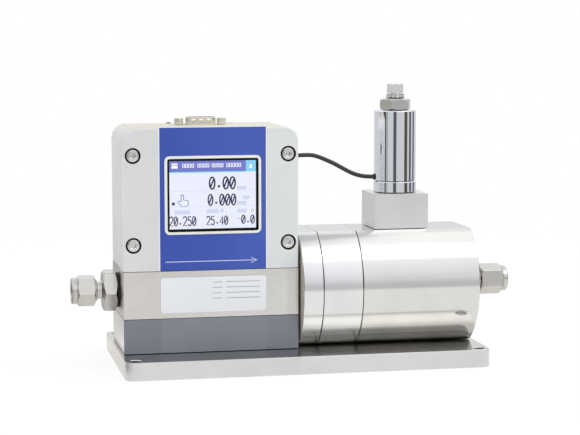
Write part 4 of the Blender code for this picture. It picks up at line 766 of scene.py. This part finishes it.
def display():
    """The bezel, glass and the lit screen behind it."""
    place = (FILM_X, METER_FRONT, DISPLAY_Z)
    bezel_low, bezel_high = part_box("display_bezel")
    back = METER_FRONT - bezel_high.y
    proud = METER_FRONT - bezel_low.y
    flange_front = POCKET_DEPTH - span("front_panel").y - CLEARANCE

    def ring(name, grow, bottom, top):
        return prism(name, rectangle(*WINDOW, BEZEL_CORNER, grow), bottom, top, place, "front")

    bezel = ring("display_bezel_polished", 0.0, back, proud / 2)
    lip = ring("add_lip", CLEARANCE + BEZEL_OVERHANG, 0.02 * MM, proud)
    soften_end(lip, proud, BEZEL_LIP / 3)
    join(bezel, lip)
    join(bezel, ring("add_flange", BEZEL_FLANGE, back, flange_front))
    cut(bezel, ring("cut_opening", -BEZEL_LIP, back - OVERCUT, proud + OVERCUT))
    settle(bezel, "bezel", "display_bezel")
    margin = MM / 10
    opening_x, opening_z = (size / 2 - BEZEL_LIP + margin for size in WINDOW)
    refinish(bezel, "black", lambda spot, normal: spot.y > METER_FRONT + margin or abs(normal.y) < 0.5
             and abs(spot.x - FILM_X) < opening_x and abs(spot.z - DISPLAY_Z) < opening_z)
    for node, name, finish in (("display_glass", "display_glass_clear", "glass"),
                               ("display_module", "display_module_black", "black")):
        size = span(node)
        pane = prism(name, rectangle(size.x, size.z, BEZEL_CORNER - BEZEL_LIP - CLEARANCE),
                     -size.y / 2, size.y / 2, middle(node), "front")
        settle(pane, finish, node)


def glyph_blocks(left, bottom, right, top):
    """Tiny hollow blocks in a row, which stand where a screen has small words."""
    pitch = 1.75
    wide = pitch * 0.6
    lines = []
    x = left
    while x + pitch * 0.7 <= right:
        lines.append(mm((x, bottom), (x + wide, bottom), (x + wide, top), (x, top), (x, bottom)))
        x += pitch
    return lines


def screen():
    """The lit screen's own marks, in millimetres: a plain header, rules, numbers and small plain icons."""
    slot = "display_module"
    layer = 0.05 * MM
    fronts = [low(slot).y - layer * count for count in range(3)]
    left, right, top = -76.6, -27.1, 119.3
    header = 113.2
    square = -32.9
    line = 112.6
    rule_right = -27.3

    def marks(name, rectangles, level, finish):
        bars("screen_" + name, mm(*rectangles), fronts[level], layer, "screen_" + finish)

    def lines(name, points, width, level, finish):
        strokes("screen_" + name, points, width * MM, fronts[level], layer, "screen_" + finish)

    marks("panel", [(left, 80.8, right, top)], 0, "panel")
    marks("header_bar", [(left, header, square, top)], 1, "header")
    marks("corner_square", [(square, 112.9, right, top)], 1, "cyan")
    marks("header_line", [(left, line, square, header)], 1, "line")
    marks("rules", [(left, 102.2, rule_right, 102.4), (left, 93.5, rule_right, 93.7)], 1, "rule")
    numbers = (("0.00", (-54.2, 103.1, -38.6, 110.1), 0.9), ("0.000", (-54.9, 93.9, -38.4, 100.3), 0.78),
               ("20.250", (-77.0, 82.6, -61.4, 88.0), 0.62), ("25.40", (-55.8, 82.8, -43.1, 87.9), 0.62),
               ("0.0", (-35.7, 83.2, -27.8, 88.1), 0.62))
    for index, (text, box, weight) in enumerate(numbers, start=1):
        lines(f"number_{index}", number_lines(text, *mm(*box)), weight, 1, "digits")
    units = [mm((-37.7, 86.2), (-36.1, 86.2))]
    for row in ((-73.5, 89.5, -64.9, 91.2), (-55.3, 89.9, -48.6, 91.6), (-47.2, 90.2, -44.4, 91.6),
                (-37.5, 89.7, -32.4, 91.4), (-29.6, 89.9, -27.9, 91.4), (-37.7, 102.9, -32.4, 104.4),
                (-34.3, 97.5, -30.8, 99.0), (-37.7, 94.3, -32.7, 95.8)):
        units += glyph_blocks(*row)
    lines("unit_marks", units, 0.34, 1, "units")
    marks("small_square", [(-75.2, 94.4, -73.7, 96.0)], 1, "digits")
    finger = [(-70.0, 96.6), (-70.0, 99.6)] + arc((-69.3, 99.6), (0.7, 0.7), 180, 0, 8)
    finger += [(-68.6, 97.2)] + arc((-66.9, 96.5), (0.9, 0.7), 90, 0, 5) + [(-66.0, 94.6)]
    finger += [(-67.0, 93.6), (-69.6, 93.6), (-71.9, 96.1), (-71.4, 96.9), (-70.0, 96.3)]
    lines("touch_icon", [mm(*finger)], 0.42, 1, "icon")
    marks("menu_icon", [(-75.4, 115.2, -71.9, 116.9), (-75.4, 117.25, -71.9, 118.1)], 2, "white")
    title = []
    for start, end in ((-69.0, -61.6), (-60.4, -53.6), (-52.3, -45.2), (-43.9, -34.7)):
        title += glyph_blocks(start, 115.7, end, 117.7)
    lines("title_marks", title, 0.5, 2, "white")
    bell = [(-31.1, 114.9), (-29.1, 114.9), (-29.4, 115.7)] + arc((-30.1, 116.3), (0.65, 1.0), 0, 180, 8)
    bell += [(-30.8, 115.7)]
    settle(prism("screen_bell_icon", mm(*bell), 0, layer, (0, fronts[2], 0), "front"), "screen_white")


def rating_label():
    """The white label, with the plain ruled lines of a blank form."""
    node = "rating_label"
    size = span(node)
    corner, first_row, pitch, line_width, ink = mm(1.5, 3.2, 3.1, 0.35, 0.02)
    label = prism("rating_label_film", rectangle(size.x, size.z, corner), -size.y / 2, size.y / 2,
                  middle(node), "front")
    settle(label, "label", node)
    lines = [[(low(node).x + share * size.x, high(node).z - first_row - row * pitch) for share in ends]
             for row in range(4) for ends in ((0.49, 0.58), (0.62, 0.94))]
    strokes("rating_label_lines", lines, line_width, low(node).y, ink, "label_print")


def connector_outline(grow=0.0):
    """The D of a nine-pin connector, long side at the front."""
    width, depth, corner = mm(18.4, 8.3, 2.2)
    slant = math.radians(10.0)
    y = depth / 2 + grow
    wide = width / 2 + grow
    narrow = wide - 2 * y * math.tan(slant)
    return rounded_polygon([(-wide, -y), (wide, -y), (narrow, y), (-narrow, y)], [corner + grow] * 4, 8)


def connector():
    shell_low, shell_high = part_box("connector_shell")
    top = shell_high.z - CONNECTOR_DROP
    place = Vector((middle("connector_shell").x, middle("connector_shell").y, 0))
    flange_height, flange_corner = mm(1.0, 1.5)
    flange_top = shell_low.z + flange_height
    shell = prism("connector_shell_tinned", connector_outline(), shell_low.z, top, place)
    soften_end(shell, top, CONNECTOR_SHEET / 2)
    size = span("connector_shell")
    join(shell, prism("add_connector_flange", rectangle(size.x, size.y, flange_corner), shell_low.z,
                      flange_top, place))
    cut(shell, prism("cut_connector_inside", connector_outline(-CONNECTOR_SHEET), shell_low.z - OVERCUT,
                     top + OVERCUT, place))
    for side in ("left", "right"):
        jack = middle("jackscrew_" + side)
        drill(shell, (jack.x, jack.y, flange_top), "up", JACK_HOLE, flange_height + OVERCUT)
    dimple = mm((-0.2, 0), (-0.2, 1.2), (0.0, 1.2), (0.25, 1.0), (0.45, 0.6), (0.52, 0))
    apart, forward, height = mm(4.4, 4.15, 2.5)
    for step in (-1, 0, 1):
        mouth = (place.x + step * apart, place.y - forward, METER_TOP + height)
        join(shell, turned("add_dimple", dimple, mouth, "front", SMALL_SIDES))
    settle(shell, "tin", "connector_shell")

    insert_low, insert_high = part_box("connector_insert")
    insert = prism("connector_insert_moulded", connector_outline(-CONNECTOR_SHEET - CLEARANCE),
                   insert_low.z, flange_top, place)
    settle(insert, "plastic", "connector_insert")
    tip = insert_high.z - CONNECTOR_DROP
    radius, pitch, row_offset = mm(0.5, 2.77, 1.42)
    profile = [(flange_top - MM, 0), (flange_top - MM, radius), (tip - radius, radius),
               (tip - radius / 3, radius * 0.7), (tip, 0)]
    spots = [(place.x + (index - (count - 1) / 2) * pitch, place.y + row * row_offset, 0)
             for count, row in ((5, -1), (4, 1)) for index in range(count)]
    pins = turned("connector_pins", profile, spots[0], sides=PIN_SIDES)
    for spot in spots[1:]:
        join(pins, turned("add_pin", profile, spot, sides=PIN_SIDES))
    settle(pins, "gold")


def jackscrews():
    """The hexagonal sockets beside the connector, each on its threaded shank."""
    flats, shank, bore, mouth, rim, edge, floor_height = mm(5.0, 1.4, 1.3, 1.6, 0.3, 0.25, 1.6)
    corner = flats / 2 * HEX_CORNER * 0.985
    base = METER_TOP + CLEARANCE
    for side in ("left", "right"):
        node = "jackscrew_" + side
        centre = (middle(node).x, middle(node).y, 0)
        top = high(node).z - CONNECTOR_DROP
        profile = [(low(node).z, 0), (low(node).z, shank), (base, shank), (base, flats / 2),
                   (base + edge, corner), (top - edge, corner), (top, flats / 2 * 0.97), (top, mouth),
                   (top - rim, bore), (base + floor_height, bore), (base + floor_height, 0)]
        screw = turned(node + "_turned", profile, centre, sides=TRIM_SIDES)
        cut_flats(screw, flats, base - CLEARANCE / 2, top + OVERCUT, centre, "up", math.radians(26.0))
        settle(screw, "tin", node)


def chamfered_hex(bottom, top, across_flats, at_bottom=True):
    """Profile points of a hexagon's outer surface, with its corners turned off at 30 degrees."""
    flat = across_flats / 2 * 0.955
    corner = across_flats / 2 * HEX_CORNER * 0.993
    fall = (corner - flat) * math.tan(math.radians(30.0))
    start = [(bottom, flat), (bottom + fall, corner)] if at_bottom else [(bottom, corner)]
    return start + [(top - fall, corner), (top, flat)]


def rounded_rim(height, radius, edge):
    """Profile points of a quarter round that ends at a height and starts at a radius."""
    turns = [math.radians(turn) for turn in QUARTER]
    return [(height - edge + edge * math.sin(turn), radius - edge + edge * math.cos(turn)) for turn in turns]


def fitting_body(side, facing, place, hexagon_sizes, thread_base, mouth):
    """A fitting's body: its hexagon, neck, thread and the socket for the tube."""
    hex_base, hex_length, hex_flats, hex_turn = hexagon_sizes
    bore, tube, neck, thread, shank, screwed_in = mm(3.0, 4.1, 5.1, 6.35, 12.0, 6.6)
    edge, ridge_depth, ridge_pitch, bell, bell_depth = mm(0.4, 0.35, 0.9, 1.2, 1.6)
    hex_top = hex_base + hex_length
    seat = hex_base + hex_length / 2
    profile = [(-shank, bore), (-shank, screwed_in), (hex_base, screwed_in)]
    profile += chamfered_hex(hex_base, hex_top, hex_flats)
    profile += [(hex_top, neck + 0.5 * MM), (hex_top + 0.5 * MM, neck), (thread_base, neck),
                (thread_base, thread - edge), (thread_base + edge, thread)]
    ridge = thread_base + edge
    while ridge < mouth - 1.0 * MM:
        profile += [(ridge + 0.3 * MM, thread), (ridge + 0.5 * MM, thread - ridge_depth),
                    (ridge + 0.7 * MM, thread)]
        ridge += ridge_pitch
    profile += [(mouth, thread), (mouth, tube + bell), (mouth - bell_depth, tube), (seat, tube), (seat, bore)]
    body = turned(f"{side}_fitting_machined", profile, place, facing)
    cut_flats(body, hex_flats, hex_base - CLEARANCE / 2, hex_top + CLEARANCE / 3, place, facing, hex_turn)
    settle(body, "fitting", f"{side}_fitting")


def fitting_nut(side, facing, place, reach, nut_low, nut_turn):
    """A fitting's nut, with the round collar at its outer end."""
    flats, collar_radius, inner, tube, edge = mm(16.0, 7.65, 6.65, 4.1, 0.65)
    collar_length, lip_length, step = mm(3.3, 2.6, 0.25)
    collar = reach - collar_length
    lip = reach - lip_length
    profile = [(nut_low, inner)] + chamfered_hex(nut_low, collar, flats)
    profile += [(collar, collar_radius - step), (collar + 0.3 * MM, collar_radius - step),
                (collar + 0.5 * MM, collar_radius)]
    profile += rounded_rim(reach, collar_radius, edge)
    profile += [(reach, tube + 0.4 * MM), (reach - 0.4 * MM, tube), (lip, tube), (lip, inner)]
    nut = turned(f"{side}_nut_machined", profile, place, facing)
    cut_flats(nut, flats, nut_low - CLEARANCE, collar + 0.02 * MM, place, facing, nut_turn)
    settle(nut, "fitting", f"{side}_nut")


def fittings():
    """Both compression fittings, outwards along +Z from the faces that they screw into."""
    left, right = low("manifold_block").x, high("valve_body").x
    rows = (("inlet", "left", left, left - low("inlet_nut").x, mm(1.2, 8.1, 22.0), 27.0, 13.5, 22.0),
            ("outlet", "right", right, high("outlet_nut").x - right, mm(0.3, 3.2, 14.0), 0.0, 16.6, -8.3))
    for side, facing, face, reach, sizes, hex_turn, nut_length, nut_turn in rows:
        place = (face, 0, AXIS_Z)
        nut_low = reach - nut_length * MM
        fitting_body(side, facing, place, (*sizes, math.radians(hex_turn)), nut_low - 1.0 * MM,
                     reach - 4.8 * MM)
        fitting_nut(side, facing, place, reach, nut_low, math.radians(nut_turn))


def flatted_circle(radius, flat, steps=72):
    """A circle cut by two parallel flats, at -X and +X of the outline."""
    limit = math.asin(flat / radius)
    side = [-limit + 2 * limit * step / steps for step in range(steps + 1)]
    angles = [math.pi / 2 - angle for angle in side] + [-math.pi / 2 - angle for angle in side]
    return [(radius * math.cos(angle), radius * math.sin(angle)) for angle in reversed(angles)]


def valve():
    """The round valve's three polished sections."""
    flat = span("valve_body").z / 2
    outline = flatted_circle(VALVE_RADIUS, flat)
    inlet_depth, chamber_depth, outlet_depth, passage_depth, rim = mm(8.8, 23.4, 13.0, 43.6, 0.3)
    for node in ("valve_inlet_flange", "valve_filter_section", "valve_body"):
        section_low, section_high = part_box(node)
        length = section_high.x - section_low.x
        place = (section_low.x, 0, AXIS_Z)
        end = (section_high.x, 0, AXIS_Z)
        section = prism(node + "_turned", outline, 0, length, place, "right")
        soften(section, VALVE_EDGE)
        if node == "valve_inlet_flange":
            drill(section, place, "left", PORT_HOLE, inlet_depth, PORT_EDGE, BORE_SIDES)
            drill(section, end, "right", PASSAGE, length)
        elif node == "valve_filter_section":
            drill(section, place, "left", FILTER_BORE, length + OVERCUT, 0.0, BORE_SIDES)
        else:
            drill(section, place, "left", FILTER_BORE, chamber_depth, 0.0, BORE_SIDES)
            drill(section, end, "right", PORT_HOLE, outlet_depth, PORT_EDGE, BORE_SIDES)
            drill(section, end, "right", PASSAGE, passage_depth)
            drill(section, (PILOT_X, 0, section_high.z), "up", PASSAGE / 2, flat)
            head_radius, head_height, shank_radius = TIE_BOLT
            for number in range(1, 5):
                bolt = middle(f"tie_bolt_{number}")
                counterbore(section, (section_high.x, bolt.y, bolt.z), "right", head_radius + CLEARANCE,
                            head_height + 2 * CLEARANCE, shank_radius + CLEARANCE, length + OVERCUT, rim)
        settle(section, "valve" if node == "valve_body" else "section", node)
        # The inlet flange's left end face gets a satin finish in place of its polish, its beige colour a
        # painted reflection of the housing beside it.
        if node == "valve_inlet_flange":
            refinish(section, "end_face_painted_reflection", lambda spot, normal: normal.x < -0.9)


def pilot_block():
    node = "pilot_block"
    size = span(node)
    pilot = prism("pilot_block_ground", rectangle(size.x, size.y), -size.z / 2, size.z / 2, middle(node))
    soften(pilot, BLOCK_EDGE)
    top = (PILOT_X, 0, high(node).z)
    bore, bore_depth = mm(10.0, 9.1)
    drill(pilot, top, "up", bore, bore_depth, 0.0, BORE_SIDES)
    drill(pilot, top, "up", STUD_HOLE, size.z + OVERCUT)
    settle(pilot, "pilot", node)


def solenoid():
    """The plated ring and case, and the nut and vent plug on top of them."""
    axis = (PILOT_X, 0, 0)
    ring_low, ring_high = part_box("solenoid_base_ring")
    outer = span("solenoid_base_ring").x / 2
    edge, inner = mm(0.35, 5.6)
    profile = [(ring_low.z, inner), (ring_low.z, outer - edge), (ring_low.z + edge, outer),
               (ring_high.z - edge, outer), (ring_high.z, outer - edge), (ring_high.z, inner)]
    ring = turned("solenoid_base_ring_plated", profile, axis, sides=PLATED_SIDES)
    settle(ring, "chrome", "solenoid_base_ring")

    case_low, case_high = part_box("solenoid_case")
    outer = span("solenoid_case").x / 2
    wall, foot_edge, top_edge, cable_hole = mm(1.2, 0.3, 0.5, 1.55)
    inside = outer - wall
    ceiling = case_high.z - wall
    profile = [(case_low.z, inside), (case_low.z, outer - foot_edge), (case_low.z + foot_edge, outer)]
    profile += rounded_rim(case_high.z, outer, top_edge)
    profile += [(case_high.z, STUD_HOLE), (ceiling, STUD_HOLE), (ceiling, inside)]
    case = turned("solenoid_case_plated", profile, axis, sides=PLATED_SIDES)
    drill(case, (PILOT_X - outer, 0, cable_route()[-1].z), "left", cable_hole, wall + OVERCUT)
    settle(case, "chrome", "solenoid_case")

    nut_low, nut_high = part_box("solenoid_nut")
    flats = 16.5 * MM
    profile = [(nut_low.z, STUD_HOLE), *chamfered_hex(nut_low.z, nut_high.z, flats), (nut_high.z, STUD_HOLE)]
    nut = turned("solenoid_nut_machined", profile, axis)
    cut_flats(nut, flats, nut_low.z - CLEARANCE / 2, nut_high.z + CLEARANCE, axis, "up", math.radians(5.3))
    settle(nut, "plated", "solenoid_nut")

    plug_low, plug_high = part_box("vent_plug")
    base = nut_high.z + CLEARANCE
    stem, radius, groove, collar_height, flats = mm(2.0, 5.4, 0.2, 3.1, 8.4)
    collar = base + collar_height
    profile = [(plug_low.z, 0), (plug_low.z, stem), (base, stem), (base, radius - groove),
               (base + groove, radius), (base + 1.2 * MM, radius), (base + 1.5 * MM, radius - groove),
               (base + 1.8 * MM, radius - groove / 2), (collar - 0.6 * MM, radius - groove),
               (collar, radius - 1.0 * MM)]
    profile += chamfered_hex(collar, plug_high.z, flats, False) + [(plug_high.z, 0)]
    plug = turned("vent_plug_machined", profile, axis)
    cut_flats(plug, flats, collar, plug_high.z + OVERCUT, axis, "up", math.radians(-6.7))
    settle(plug, "satin", "vent_plug")
    refinish(plug, "plated", lambda spot, normal: spot.z < collar)


def smooth_route(points, steps):
    """Points along a smooth curve through a cord's own points."""
    ends = [2 * points[0] - points[1]] + points + [2 * points[-1] - points[-2]]
    route = [points[0]]
    for before, start, end, after in zip(ends, ends[1:], ends[2:], ends[3:]):
        for step in range(1, steps + 1):
            t = step / steps
            route.append(0.5 * (2 * start + (end - before) * t
                                + (2 * before - 5 * start + 4 * end - after) * t ** 2
                                + (3 * start - before - 3 * end + after) * t ** 3))
    return route


def cable_route():
    """The cable's own points, in the plane of the pipe, as the frame's solid has them."""
    start, end = low("signal_cable").x, high("signal_cable").x
    exit_z, entry_z = mm(119.5, 106.3)
    route = [(start, exit_z), (start + 3.0 * MM, exit_z), (0.0032, 0.1196), (0.0085, 0.1197),
             (0.0137, 0.1190), (0.0232, 0.1151), (0.0349, 0.1089), (0.0420, 0.1068),
             (end - 1.2 * MM, entry_z), (end, entry_z)]
    return [Vector((x, 0, z)) for x, z in route]


def signal_cable():
    """The cable, its gland on the housing and the grommet where it enters the solenoid."""
    points = smooth_route(cable_route(), 8)
    radius = 1.25 * MM
    curve = bpy.data.curves.new("signal_cable_jacket", "CURVE")
    curve.dimensions = "3D"
    curve.bevel_depth = radius
    curve.bevel_resolution = 8
    curve.use_fill_caps = True
    curve.resolution_u = 1
    spline = curve.splines.new("POLY")
    spline.points.add(len(points) - 1)
    for point, place in zip(spline.points, points):
        point.co = (*place, 1)
    spline.use_smooth = True
    cable = bpy.data.objects.new("signal_cable_jacket", curve)
    bpy.context.scene.collection.objects.link(cable)
    curve.materials.append(FINISH["cable"])
    cable.visible_glossy = False
    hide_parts("signal_cable")
    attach(cable, "instrument")

    gland_low, gland_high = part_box("cable_gland")
    face = high("electronics_housing").x
    bore = radius + CLEARANCE
    sleeve, flange, shoulder, lip = mm(2.6, 3.6, 2.2, 0.2)
    back = gland_low.x - face
    reach = gland_high.x - face
    turns = [math.radians(turn) for turn in (0, 20, 40, 60, 80, 90)]
    profile = [(back, bore), (back, sleeve), (CLEARANCE, sleeve), (CLEARANCE, flange)]
    profile += [(reach * (0.45 + 0.55 * math.sin(turn)), shoulder + (flange - shoulder) * math.cos(turn))
                for turn in turns]
    profile += [(reach, bore + lip), (reach - lip, bore)]
    gland = turned("cable_gland_rubber", profile, (face, 0, points[0].z), "right", TRIM_SIDES)
    gland.visible_glossy = False
    settle(gland, "rubber", "cable_gland")
    wall = low("solenoid_case").x
    profile = [(-lip, bore - lip), (-lip, bore + 2 * lip), (0.3 * MM, bore + 2 * lip), (0.8 * MM, bore),
               (0.8 * MM, bore - lip)]
    grommet = turned("cable_grommet", profile, (wall, 0, points[-1].z), "left", TRIM_SIDES)
    settle(grommet, "rubber")


def carried_over_nodes():
    """Give the frame's own inner solids their finish."""
    inner = {"copper": ("coil",), "sinter": ("filter_element",), "board": ("main_board",),
             "rubber": ("o_ring", "seal")}
    for name, node in frame["nodes"].items():
        chosen = [finish for finish, words in inner.items() if any(word in name for word in words)]
        node.data.materials.clear()
        node.data.materials.append(FINISH[chosen[-1] if chosen else "inner"])


def plunger_spring():
    """The plunger's spring, a copy of the frame's solid that rides with the plunger."""
    node = "plunger_spring"
    spring = bpy.data.objects.new("plunger_spring_wound", frame["nodes"][node].data.copy())
    bpy.context.scene.collection.objects.link(spring)
    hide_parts(node)
    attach(spring, "plunger")
    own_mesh(spring)


def world_light():
    """White behind the object, and a soft studio with dark gaps in what its metal reflects."""
    world = bpy.data.worlds.new("studio")
    bpy.context.scene.world = world
    graph = Graph(world)
    graph.nodes.clear()
    x, y, z = graph.parts(graph.add("TexCoord").outputs["Generated"])
    # From 0 straight down, through 0.5 at the horizon, to 1 straight up
    height = graph.math("MULTIPLY_ADD", z, 0.5, 0.5)
    turn = graph.math("ARCTAN2", x, graph.math("MULTIPLY", y, -1.0))
    turn = graph.math("MULTIPLY_ADD", turn, 0.5 / math.pi, 0.5)

    levels = ((0.0, 0.90), (0.40, 0.82), (0.45, 0.76), (0.52, 0.78), (0.55, 0.84), (0.60, 1.02),
              (0.66, 1.12), (0.71, 1.21), (0.765, 1.28), (0.82, 1.35), (0.87, 1.40), (1.0, 1.10))
    plain = (1.0, 1.0, 1.0)
    bluish = (0.99, 0.995, 1.01)
    sky = [(position, [level / REFLECTED_STRENGTH * part for part in (bluish if position > 0.5 else plain)])
           for position, level in levels]
    # Each gap's start and end round the horizon, in degrees, the width of its edges and its colour
    gaps = ((-116, -90, 3, (0.86, 0.86, 0.86)), (-84, -65, 2, (0.12, 0.12, 0.10)),
            (-62, -55, 1, (0.52, 0.64, 0.60)), (-22, -8, 3, (0.15, 0.155, 0.18)),
            (40, 56, 3, (0.13, 0.13, 0.10)), (71, 84, 2, (0.14, 0.15, 0.20)),
            (100, 113, 2, (0.14, 0.15, 0.20)))
    stops = [(0.0, plain)]
    for start, end, edge, colour in gaps:
        stops += [((angle + 180) / 360, value) for angle, value in
                  ((start - edge, plain), (start, colour), (end, colour), (end + edge, plain))]
    bands = graph.ramp(turn, stops + [(1.0, plain)])
    none = (0.0, 0.0, 0.0)
    near_horizon = graph.ramp(height, [(0.0, none), (0.30, none), (0.36, plain), (0.62, plain),
                                       (0.72, none)])
    studio_colour = graph.multiply(near_horizon, graph.ramp(height, sky), bands)

    reflected, seen, fill = (graph.add("Background", {"Color": colour, "Strength": strength}).outputs[0]
                             for colour, strength in ((studio_colour, REFLECTED_STRENGTH), (WHITE, 1.0),
                                                      (FILL_COLOUR, FILL_STRENGTH)))
    rays = graph.add("LightPath").outputs
    straight = graph.math("MAXIMUM", rays["Is Camera Ray"], rays["Is Transmission Ray"])
    light = graph.mix(straight, graph.mix(rays["Is Glossy Ray"], fill, reflected), seen)
    graph.add("OutputWorld", {"Surface": light})


def lamp(name, place, target, size, watts, colour):
    light = bpy.data.lights.new(name, "AREA")
    light.shape = "RECTANGLE"
    light.size, light.size_y = size
    light.energy = watts
    light.color = colour
    obj = bpy.data.objects.new(name, light)
    obj.location = place
    obj.rotation_euler = (Vector(target) - Vector(place)).to_track_quat("-Z", "Y").to_euler()
    obj.visible_glossy = False
    bpy.context.scene.collection.objects.link(obj)


def floor():
    """A pale floor that the camera sees as white, with the object's faint shadow on it."""
    bm = bmesh.new()
    bmesh.ops.create_circle(bm, cap_ends=True, segments=SIDES, radius=0.62)
    disc = new_object("studio_floor", bm, (0.0, 0.0, -CLEARANCE))
    graph = surface("floor", (240, 240, 238), 0.8)
    place = graph.place()
    x, y = graph.parts(place)[:2]
    # What metal sees of the floor carries painted shadow: darker under the inlet and left of the plate, but
    # not before it, and dimmer behind
    away = graph.add("VectorMath", {0: place, 1: (-0.145, -0.10, 0.0)}, operation="DISTANCE").outputs["Value"]
    painted_shadow_under_inlet = graph.smooth(away, 0.0, 0.05, 0.70, 1.0)
    painted_shade_left_of_plate = graph.smooth(x, -0.145, -0.118, 0.48, 1.20)
    painted_shade_left_of_plate = graph.math("MAXIMUM", painted_shade_left_of_plate, graph.smooth(y, -0.078, -0.060, 1.0, 0.0))
    painted_shade_behind = graph.smooth(y, 0.06, 0.13, 1.0, 0.80)
    reflected = graph.math("MULTIPLY", graph.math("MULTIPLY", painted_shadow_under_inlet, painted_shade_left_of_plate), painted_shade_behind)
    rays = graph.add("LightPath").outputs
    present = graph.shader.outputs[0]
    for ray, share, colour, strength in (("Is Camera Ray", 0.85, WHITE, 1.03),
                                         ("Is Glossy Ray", 0.75, (1.0, 0.985, 0.97, 1.0), reflected)):
        glow = graph.add("Emission", {"Color": colour, "Strength": strength}).outputs[0]
        present = graph.mix(graph.math("MULTIPLY", rays[ray], share), present, glow)
    graph.feed(graph.nodes["Material Output"].inputs["Surface"], present)
    disc.data.materials.append(FINISH["floor"])


def softbox():
    """The bright panel overhead that the round valve shows, seen by nothing but reflections."""
    bm = bmesh.new()
    left, right, front, back, height = -0.10, 0.70, -0.50, 0.20, 0.60
    corners = [(left, front), (right, front), (right, back), (left, back)]
    bm.faces.new([bm.verts.new((x, y, 0.0)) for x, y in corners])
    panel = new_object("studio_softbox", bm, (0.0, 0.0, height))
    graph = surface("softbox", (0, 0, 0), 1.0)
    x, y = graph.parts(graph.place())[:2]
    there = graph.smooth(x, -0.01, 0.09)
    for edge in (graph.smooth(y, -0.500, -0.460), graph.smooth(y, 0.12, 0.17, 1.0, 0.0)):
        there = graph.math("MULTIPLY", there, edge)
    # Dimmer at the left end, most of all towards the back of it
    dimmer = graph.smooth(graph.math("MULTIPLY_ADD", y, -0.2, x), 0.12, 0.20, 0.72, 1.0)
    slant = graph.smooth(graph.math("MULTIPLY_ADD", x, -1.5, y), -0.22, -0.17, 1.0, 0.70)
    bright = graph.smooth(y, -0.28, -0.10, 2.75, 1.50)
    strength = graph.math("MULTIPLY", graph.math("MULTIPLY", dimmer, slant), bright)
    glow = graph.add("Emission", {"Strength": strength}).outputs[0]
    clear = graph.add("BsdfTransparent").outputs[0]
    graph.feed(graph.nodes["Material Output"].inputs["Surface"], graph.mix(there, clear, glow))
    graph.nodes.remove(graph.shader)
    panel.data.materials.append(FINISH["softbox"])
    panel.visible_camera = False
    panel.visible_diffuse = False
    panel.visible_transmission = False
    panel.visible_shadow = False


def studio():
    """The light, the pale floor and the camera."""
    world_light()
    # Each lamp's place, the height that it aims at, its size, its watts and its colour
    for name, place, aim, size, watts, colour in (
            ("top_panel", (0.0, -0.10, 1.10), 0.05, (1.0, 0.8), 3.1, (1.0, 0.94, 0.83)),
            ("left_panel", (-1.08, -0.38, 0.65), 0.07, (0.6, 0.8), 2.9, (1.0, 0.985, 0.96)),
            ("front_panel_light", (0.55, -1.15, 0.60), 0.07, (0.7, 0.7), 2.4, (0.94, 0.985, 1.0)),
            ("right_panel", (0.85, 0.1, 0.75), 0.09, (0.6, 0.8), 4.4, (0.98, 0.99, 1.0))):
        lamp(name, place, (0.0, 0.0, aim), size, watts, colour)
    floor()
    softbox()

    camera = bpy.data.cameras.new("camera")
    camera.sensor_width = SENSOR_WIDTH
    camera.lens = FOCAL_PIXELS * SENSOR_WIDTH / PHOTO_WIDTH
    camera.shift_x, camera.shift_y = CAMERA_SHIFT
    camera.clip_start = 0.05
    obj = bpy.data.objects.new("camera", camera)
    turn = CAMERA_FORWARD.to_track_quat("-Z", "Y").to_matrix().to_4x4()
    obj.matrix_world = Matrix.Translation(CAMERA_PLACE) @ turn @ Matrix.Rotation(CAMERA_ROLL, 4, "Z")
    bpy.context.scene.collection.objects.link(obj)
    bpy.context.scene.camera = obj
    bpy.context.scene.view_settings.view_transform = "Standard"


metals()
coatings()
screen_lights()
studio()
signal_cable()
carried_over_nodes()
plunger_spring()
base_plate()
meter_blocks()
front_panel()
electronics_housing()
screws()
front_film()
display()
screen()
rating_label()
connector()
jackscrews()
fittings()
valve()
pilot_block()
solenoid()
remove_cutters()
